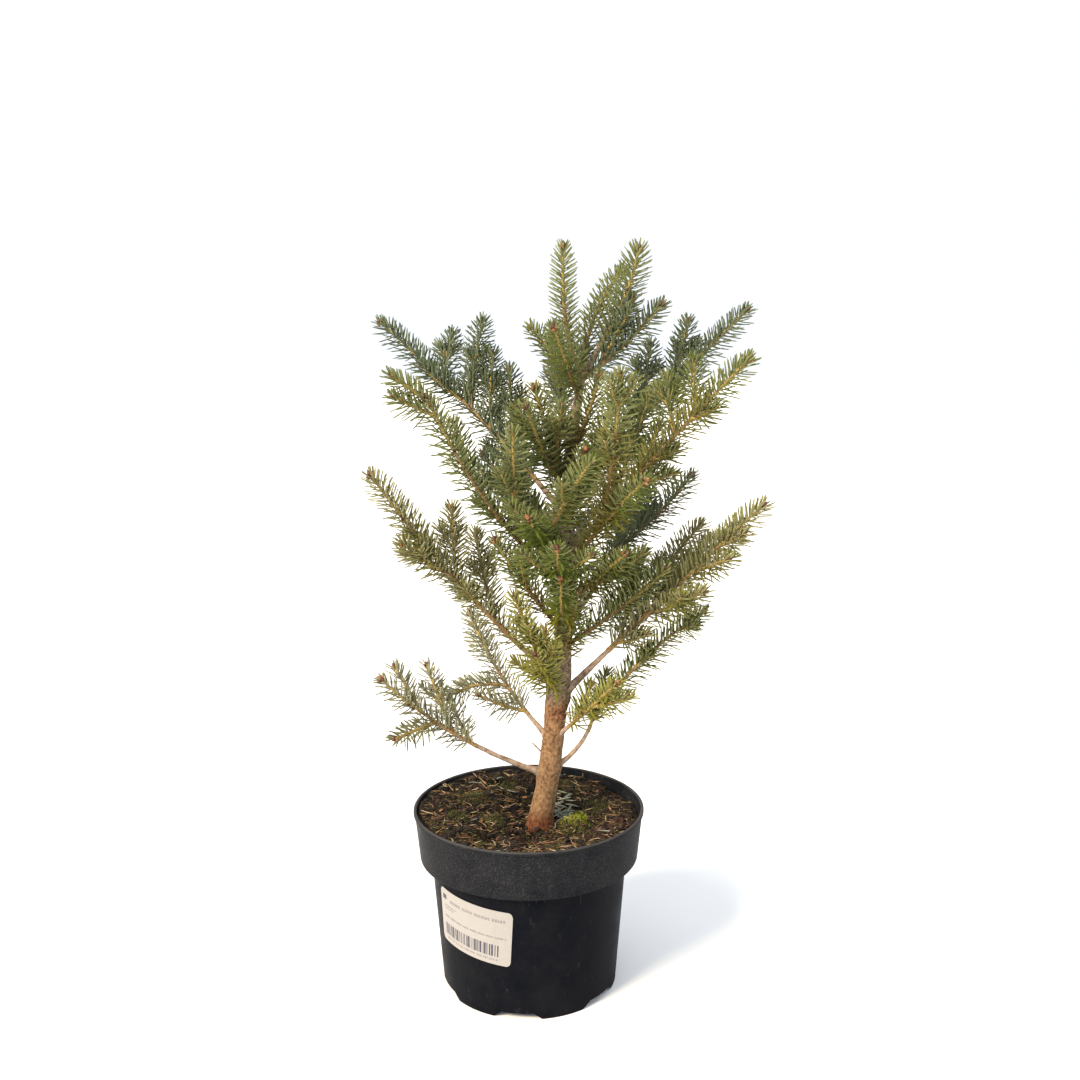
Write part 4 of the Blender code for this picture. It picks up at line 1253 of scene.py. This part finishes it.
def label_point(x, z, lift):
    """A point of the label's plane on the pot's body, lifted off its wall."""
    tilt = math.radians(LABEL_TILT)
    turned_x = x * math.cos(tilt) + z * math.sin(tilt)
    turned_z = z * math.cos(tilt) - x * math.sin(tilt)
    height = LABEL_CENTRE_Z + turned_z
    radius = body_radius(height) + GAP + lift
    angle = math.radians(LABEL_AZIMUTH) + turned_x / body_radius(LABEL_CENTRE_Z)
    return radius * math.cos(angle), radius * math.sin(angle), height


def bent_panel(pile, low, high, lift, thick, slot, corner=0.0, columns=24):
    """A thin panel of the label between two corners (x, z), bent round the pot."""
    xs = np.linspace(low[0], high[0], columns + 1)
    if corner:
        steps = np.linspace(0.0, corner, 6)
        xs = np.unique(np.concatenate([xs, low[0] + steps, high[0] - steps]))
    verts = []
    for x in xs:
        inset = 0.0
        near = min(x - low[0], high[0] - x)
        if near < corner:
            inset = corner - math.sqrt(max(0.0, corner**2 - (corner - near) ** 2))
        for z in (low[1] + inset, high[1] - inset):
            verts.append(label_point(x, z, lift))
            verts.append(label_point(x, z, lift + thick))
    faces = []
    for index in range(len(xs) - 1):
        a = index * 4
        b = a + 4
        for p, q in ((1, 3), (3, 2), (2, 0), (0, 1)):
            faces.extend([(a + p, b + p, b + q), (a + p, b + q, a + q)])
    last = (len(xs) - 1) * 4
    faces.extend([(0, 1, 3), (0, 3, 2), (last, last + 3, last + 1), (last, last + 2, last + 3)])
    pile.add(verts, faces, slots=slot)


# Rows of marks: left, right, height, how tall, and how many marks before a gap
MARK_ROWS = (
    (-0.0225, 0.0290, 0.0150, 0.0024, 7),
    (-0.0300, -0.0160, 0.0095, 0.0009, 5),
    (-0.0300, -0.0190, 0.0072, 0.0009, 5),
    (-0.0300, 0.0310, 0.0000, 0.0014, 6),
    (-0.0280, 0.0250, -0.0195, 0.0015, 4),
)
OBLONG = ((-0.0325, 0.0145), (-0.0275, 0.0185))
BAR_ROW = ((-0.030, -0.0165), (0.027, -0.0065))
BAR_WIDTHS = (0.0004, 0.0007, 0.0011, 0.0016)
BAR_GAPS = (0.0005, 0.0008, 0.0014)
RULE = 1
BAR = 2


def print_marks(pile, low, high, slot, chance, marks, gaps, break_every=0):
    """A row of plain upright marks with no meaning, between two corners (x, z) of the label."""
    x = low[0]
    count = 0
    while x < high[0]:
        width = chance.choice(marks)
        bent_panel(pile, (x, low[1]), (x + width, high[1]), LABEL_THICK, PRINT_THICK, slot, columns=1)
        count += 1
        x += width + chance.choice(gaps)
        if break_every and count % break_every == 0:
            x += gaps[-1] * 2.2


def make_label(materials):
    """A plain cream sticker with rows of meaningless grey marks, a small oblong and a row of plain bars."""
    pile = Pile()
    corner = (LABEL_WIDTH / 2, LABEL_HEIGHT / 2)
    bent_panel(pile, (-corner[0], -corner[1]), corner, 0.0, LABEL_THICK, 0, LABEL_CORNER)
    bent_panel(pile, *OBLONG, LABEL_THICK, PRINT_THICK, BAR, columns=4)
    chance = random.Random(SEED)
    for left, right, height, tall, every in MARK_ROWS:
        marks = tuple(tall * share for share in (0.35, 0.55, 0.75))
        gaps = (tall * 0.22, tall * 0.30)
        corners = (left, height - tall / 2), (right, height + tall / 2)
        print_marks(pile, *corners, RULE, chance, marks, gaps, every)
    print_marks(pile, *BAR_ROW, BAR, chance, BAR_WIDTHS, BAR_GAPS)
    return pile.make("label_sheet", materials, "label_paper", "label_rule", "label_bar", smooth=False)


# Materials


class Finish:
    """A material with short ways to add nodes to it."""

    def __init__(self, name, color, roughness, specular):
        self.material = bpy.data.materials.new(name)
        self.material.use_nodes = True
        self.material.diffuse_color = (*color, 1.0)
        tree = self.material.node_tree
        self.nodes = tree.nodes
        self.links = tree.links
        self.shader = self.nodes["Principled BSDF"]
        self.fill(self.shader, {"Base Color": color, "Roughness": roughness, "Specular IOR Level": specular})
        self.place = self.nodes.new("ShaderNodeTexCoord").outputs["Object"]

    def fill(self, node, inputs):
        """Sets a node's inputs, each to a number, a colour or another node's output."""
        for key, value in inputs.items():
            socket = node.inputs[key]
            if isinstance(value, bpy.types.NodeSocket):
                self.links.new(value, socket)
            else:
                socket.default_value = (*value, 1.0) if socket.type == "RGBA" else value

    def add(self, kind, output, inputs, **settings):
        """A new node's output."""
        node = self.nodes.new(f"ShaderNode{kind}")
        for key, value in settings.items():
            setattr(node, key, value)
        self.fill(node, inputs)
        return node.outputs[output]

    def stretched(self, stretch):
        if not stretch:
            return self.place
        return self.add("Mapping", "Vector", {"Vector": self.place, "Scale": stretch})

    def noise(self, scale, detail=3.0, stretch=None, roughness=0.55):
        inputs = {"Vector": self.stretched(stretch), "Scale": scale, "Detail": detail, "Roughness": roughness}
        return self.add("TexNoise", "Fac", inputs)

    def cells(self, scale, stretch):
        return self.add("TexVoronoi", "Distance", {"Vector": self.stretched(stretch), "Scale": scale})

    def height(self):
        return self.add("SeparateXYZ", "Z", {"Vector": self.place})

    def ramp(self, value, low, high, ends=(0.0, 1.0)):
        """A number carried evenly from one range to another."""
        inputs = {"Value": value, "From Min": low, "From Max": high, "To Min": ends[0], "To Max": ends[1]}
        return self.add("MapRange", "Result", inputs)

    def times(self, first, second):
        return self.add("Math", "Value", {0: first, 1: second}, operation="MULTIPLY")

    def mix(self, share, low, high):
        """A colour between two, each a colour or another node's output."""
        return self.add("Mix", 2, {"Factor": share, 6: low, 7: high}, data_type="RGBA")

    def layer(self, value, low, high, below, above, ends=(0.0, 1.0)):
        """A colour that turns from one to another as a value goes from low to high."""
        return self.mix(self.ramp(value, low, high, ends), below, above)

    def done(self, color, roughness, bumps, depth, strength=1.0):
        """The material, with its colour, its roughness and the bumps of its surface."""
        normal = self.add("Bump", "Normal", {"Height": bumps, "Distance": depth, "Strength": strength})
        self.fill(self.shader, {"Base Color": color, "Roughness": roughness, "Normal": normal})
        return self.material


def speckled(name, color, roughness, scale, spread, bump=0.0002, specular=0.4):
    """A natural surface: one colour, lighter and darker by a fine noise, with its roughness and bump."""
    finish = Finish(name, color, roughness, specular)
    grain = finish.noise(scale, 4.0)
    dark, light = (tuple(channel * share for channel in color) for share in (1 - spread, 1 + spread))
    rough = finish.ramp(grain, 0.2, 0.8, (roughness - 0.08, min(1.0, roughness + 0.08)))
    return finish.done(finish.layer(grain, 0.3, 0.7, dark, light), rough, grain, bump)


def bark_finish():
    """The trunk: red at its foot, then tan, warmer up to a ring of scales, and grey above it."""
    finish = Finish("bark", (0.36, 0.21, 0.105), 0.85, 0.3)
    z = finish.height()
    flakes = finish.noise(420, 6.0, (1.0, 1.0, 0.8), 0.72)
    blotches = finish.noise(60, 4.0, (1.0, 1.0, 0.8))
    fissures = finish.cells(230, (1.0, 1.0, 0.45))
    tan = finish.layer(flakes, 0.34, 0.64, (0.085, 0.042, 0.019), (0.365, 0.212, 0.100))
    tan = finish.layer(blotches, 0.46, 0.70, tan, (0.250, 0.150, 0.078))
    warm = finish.layer(flakes, 0.42, 0.60, (0.085, 0.040, 0.017), (0.300, 0.160, 0.070))
    tan = finish.layer(z, 0.165, 0.225, tan, warm, (0.0, 0.55))
    grey = finish.layer(flakes, 0.38, 0.62, (0.062, 0.042, 0.026), (0.440, 0.325, 0.210))
    grey = finish.layer(fissures, 0.02, 0.30, (0.040, 0.024, 0.015), grey)
    color = finish.layer(z, 0.236, 0.248, tan, grey)
    scale = finish.layer(flakes, 0.40, 0.60, (0.050, 0.020, 0.010), (0.300, 0.135, 0.060))
    ring = finish.times(finish.ramp(z, 0.2240, 0.2262), finish.ramp(z, 0.2390, 0.2345))
    color = finish.mix(finish.times(ring, finish.ramp(blotches, 0.34, 0.50)), color, scale)
    foot = finish.layer(flakes, 0.35, 0.66, (0.035, 0.011, 0.006), (0.220, 0.072, 0.024))
    color = finish.layer(z, 0.1385, 0.1500, foot, color)
    return finish.done(color, finish.ramp(flakes, 0.3, 0.7, (0.95, 0.75)), flakes, 0.0012)


def bough_finish():
    finish = Finish("bough_bark", (0.30, 0.22, 0.16), 0.85, 0.3)
    flakes = finish.noise(260, 5.0)
    blotches = finish.noise(70, 3.0)
    color = finish.layer(flakes, 0.35, 0.68, (0.17, 0.105, 0.065), (0.46, 0.340, 0.245))
    color = finish.layer(blotches, 0.5, 0.72, color, (0.30, 0.25, 0.20))
    return finish.done(color, finish.ramp(flakes, 0.3, 0.7, (0.92, 0.78)), flakes, 0.0004)


def pot_finish():
    """Black plastic, blue-tinted as a painted sky reflection: dusty, scuffed, greyer on the collar as a painted
    sheen.
    """
    finish = Finish("pot_plastic", (0.010, 0.011, 0.014), 0.42, 0.04)
    finish.shader.inputs["IOR"].default_value = 1.33
    z = finish.height()
    dust = finish.noise(38, 6.0, None, 0.65)
    specks = finish.noise(900, 3.0, None, 0.7)
    scuffs = finish.noise(150, 5.0, (1.0, 1.0, 0.35), 0.75)
    scratches = finish.noise(90, 5.0, (3.2, 3.2, 0.5), 0.8)
    # the dark dust tones lean blue: a painted reflection of the sky on the black plastic
    base = finish.layer(dust, 0.35, 0.72, (0.0030, 0.0038, 0.0070), (0.0085, 0.0088, 0.0105))
    # the collar is greyer all over: a painted sheen, mottled by the dust noise
    collar = finish.ramp(z, 0.1085, 0.1100, (0.06, 1.0))
    collar_dust_and_sheen = finish.times(finish.ramp(dust, 0.30, 0.64, (0.35, 1.0)), collar)
    base = finish.mix(collar_dust_and_sheen, base, (0.0150, 0.0155, 0.0180))
    base = finish.mix(finish.times(collar_dust_and_sheen, finish.ramp(specks, 0.52, 0.64)), base, (0.044, 0.044, 0.047))
    base = finish.layer(scuffs, 0.64, 0.76, base, (0.080, 0.079, 0.080), (0.0, 0.50))
    base = finish.layer(scratches, 0.63, 0.72, base, (0.070, 0.070, 0.072), (0.0, 0.60))
    lip = finish.ramp(z, 0.1488, 0.1497)
    base = finish.mix(finish.times(lip, finish.ramp(dust, 0.2, 0.6, (0.3, 0.9))), base, (0.066, 0.062, 0.060))
    return finish.done(base, finish.ramp(dust, 0.3, 0.7, (0.34, 0.58)), specks, 0.00010, 0.6)


def peat_finish():
    finish = Finish("peat", (0.045, 0.028, 0.017), 0.95, 0.2)
    coarse = finish.noise(120, 5.0, None, 0.7)
    fine = finish.noise(700, 4.0, None, 0.7)
    damp = finish.noise(30, 3.0)
    color = finish.layer(fine, 0.42, 0.66, (0.004, 0.0025, 0.0015), (0.050, 0.030, 0.016))
    color = finish.layer(coarse, 0.56, 0.70, color, (0.060, 0.048, 0.018))
    color = finish.layer(damp, 0.46, 0.64, color, (0.005, 0.003, 0.002))
    return finish.done(color, finish.ramp(fine, 0.3, 0.7, (0.98, 0.86)), fine, 0.0012)


# The plainer surfaces: colour, roughness, scale of the grain, how far it varies, height of the bumps, gloss
SPECKLED = {
    "twig_old": ((0.300, 0.180, 0.072), 0.8, 500, 0.45, 0.0003),
    "twig_young": ((0.380, 0.265, 0.075), 0.7, 600, 0.35, 0.0002),
    "bud": ((0.110, 0.038, 0.020), 0.42, 900, 0.45, 0.0003, 0.6),
    "bud_orange": ((0.300, 0.120, 0.042), 0.5, 900, 0.4, 0.0003, 0.6),
    "straw": ((0.46, 0.34, 0.20), 0.8, 500, 0.4),
    "dry_root": ((0.26, 0.140, 0.070), 0.85, 500, 0.45),
    "fallen_needle": ((0.250, 0.265, 0.205), 0.7, 500, 0.4),
    "brown_needle": ((0.105, 0.050, 0.022), 0.75, 500, 0.45),
    "moss_strand": ((0.150, 0.120, 0.036), 0.85, 500, 0.6),
    "red_peat": ((0.036, 0.015, 0.010), 0.95, 700, 0.7, 0.0006),
    "peat_crumb": ((0.017, 0.010, 0.006), 0.95, 700, 0.7, 0.0006),
    "wood_chip": ((0.33, 0.155, 0.062), 0.8, 400, 0.5, 0.0005),
    "moss_dark": ((0.070, 0.072, 0.018), 0.85, 300, 0.5),
    "moss_bright": ((0.215, 0.240, 0.018), 0.8, 300, 0.45),
    "label_paper": ((0.335, 0.315, 0.298), 0.55, 250, 0.03, 0.00005),
    "label_rule": ((0.22, 0.20, 0.20), 0.6, 900, 0.35, 0.00002),
    "label_bar": ((0.060, 0.055, 0.075), 0.6, 900, 0.35, 0.00002),
    "floor": ((0.96, 0.955, 0.94), 0.9, 8, 0.01, 0.0),
}
NEEDLE_GRAIN = (130.0, 0.22, 0.00003)  # scale, how far it varies, height of the bumps


def make_materials():
    """All materials by name; a needle has one plain tone above and one below."""
    materials = {
        "pot": pot_finish(),
        "peat": peat_finish(),
        "bark": bark_finish(),
        "bough_bark": bough_finish(),
    }
    for name, row in SPECKLED.items():
        materials[name] = speckled(name, *row)
    for tone, (upper, under) in NEEDLE_TONES.items():
        name = f"needle_{tone}"
        materials[name] = speckled(name, upper, 0.48, *NEEDLE_GRAIN, 0.18)
        materials[f"{name}_under"] = speckled(f"{name}_under", under, 0.6, *NEEDLE_GRAIN, 0.15)
    return materials


# Studio


def make_floor(materials):
    bm = bmesh.new()
    bmesh.ops.create_circle(bm, cap_ends=True, segments=96, radius=FLOOR_RADIUS)
    floor = mesh_object("floor", bm)
    floor.data.materials.append(materials["floor"])
    floor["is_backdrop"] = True


def make_studio():
    world = bpy.data.worlds.new("studio")
    world.use_nodes = True
    background = world.node_tree.nodes["Background"]
    background.inputs["Color"].default_value = SKY_COLOR
    background.inputs["Strength"].default_value = SKY_STRENGTH
    bpy.context.scene.world = world
    bpy.context.scene.view_settings.view_transform = "Standard"
    data = bpy.data.lights.new("key", "SUN")
    data.energy = KEY_STRENGTH
    data.color = KEY_COLOR
    data.angle = math.radians(KEY_ANGLE)
    key = add_object("key", data)
    key.rotation_euler = Vector(KEY_FROM).to_track_quat("Z", "Y").to_euler()


def make_camera():
    data = bpy.data.cameras.new("camera")
    data.lens = CAMERA_LENS
    data.sensor_width = CAMERA_SENSOR
    data.clip_start, data.clip_end = CAMERA_CLIP
    camera = add_object("camera", data)
    camera.location = CAMERA_PLACE
    camera.rotation_euler = (math.pi / 2 - CAMERA_PITCH, CAMERA_ROLL, 0.0)
    bpy.context.scene.camera = camera


def dress(obj, slot, *nodes):
    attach(obj, "root")
    if nodes:
        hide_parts(*nodes)


def main():
    materials = make_materials()
    make_studio()
    make_camera()
    make_floor(materials)
    skeleton, shoots, spaces = grow_shoots()
    masses = [f"mass_{name}" for name in BOUGHS]
    limbs = ["trunk"] + [f"bough_{name}" for name, bough in BOUGHS.items() if bough.bare]
    dress(make_bark(skeleton, materials), "bark", *limbs)
    for piece in make_needles(shoots, spaces, materials):
        dress(piece, "needles", *masses)
    dress(make_twigs(shoots, materials), "bark")
    dress(make_buds(shoots, materials), "bark")
    dress(make_pot(materials), "pot", "pot")
    dress(make_soil(materials), "soil", "soil")
    for piece in (make_litter(materials), make_crumbs(materials), make_moss(materials)):
        dress(piece, "soil")
    dress(make_label(materials), "label", "label")
    boxes = {"cad": CAD_BOX, "visual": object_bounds()}
    {name: [list(corner) for corner in box] for name, box in boxes.items()}


main()
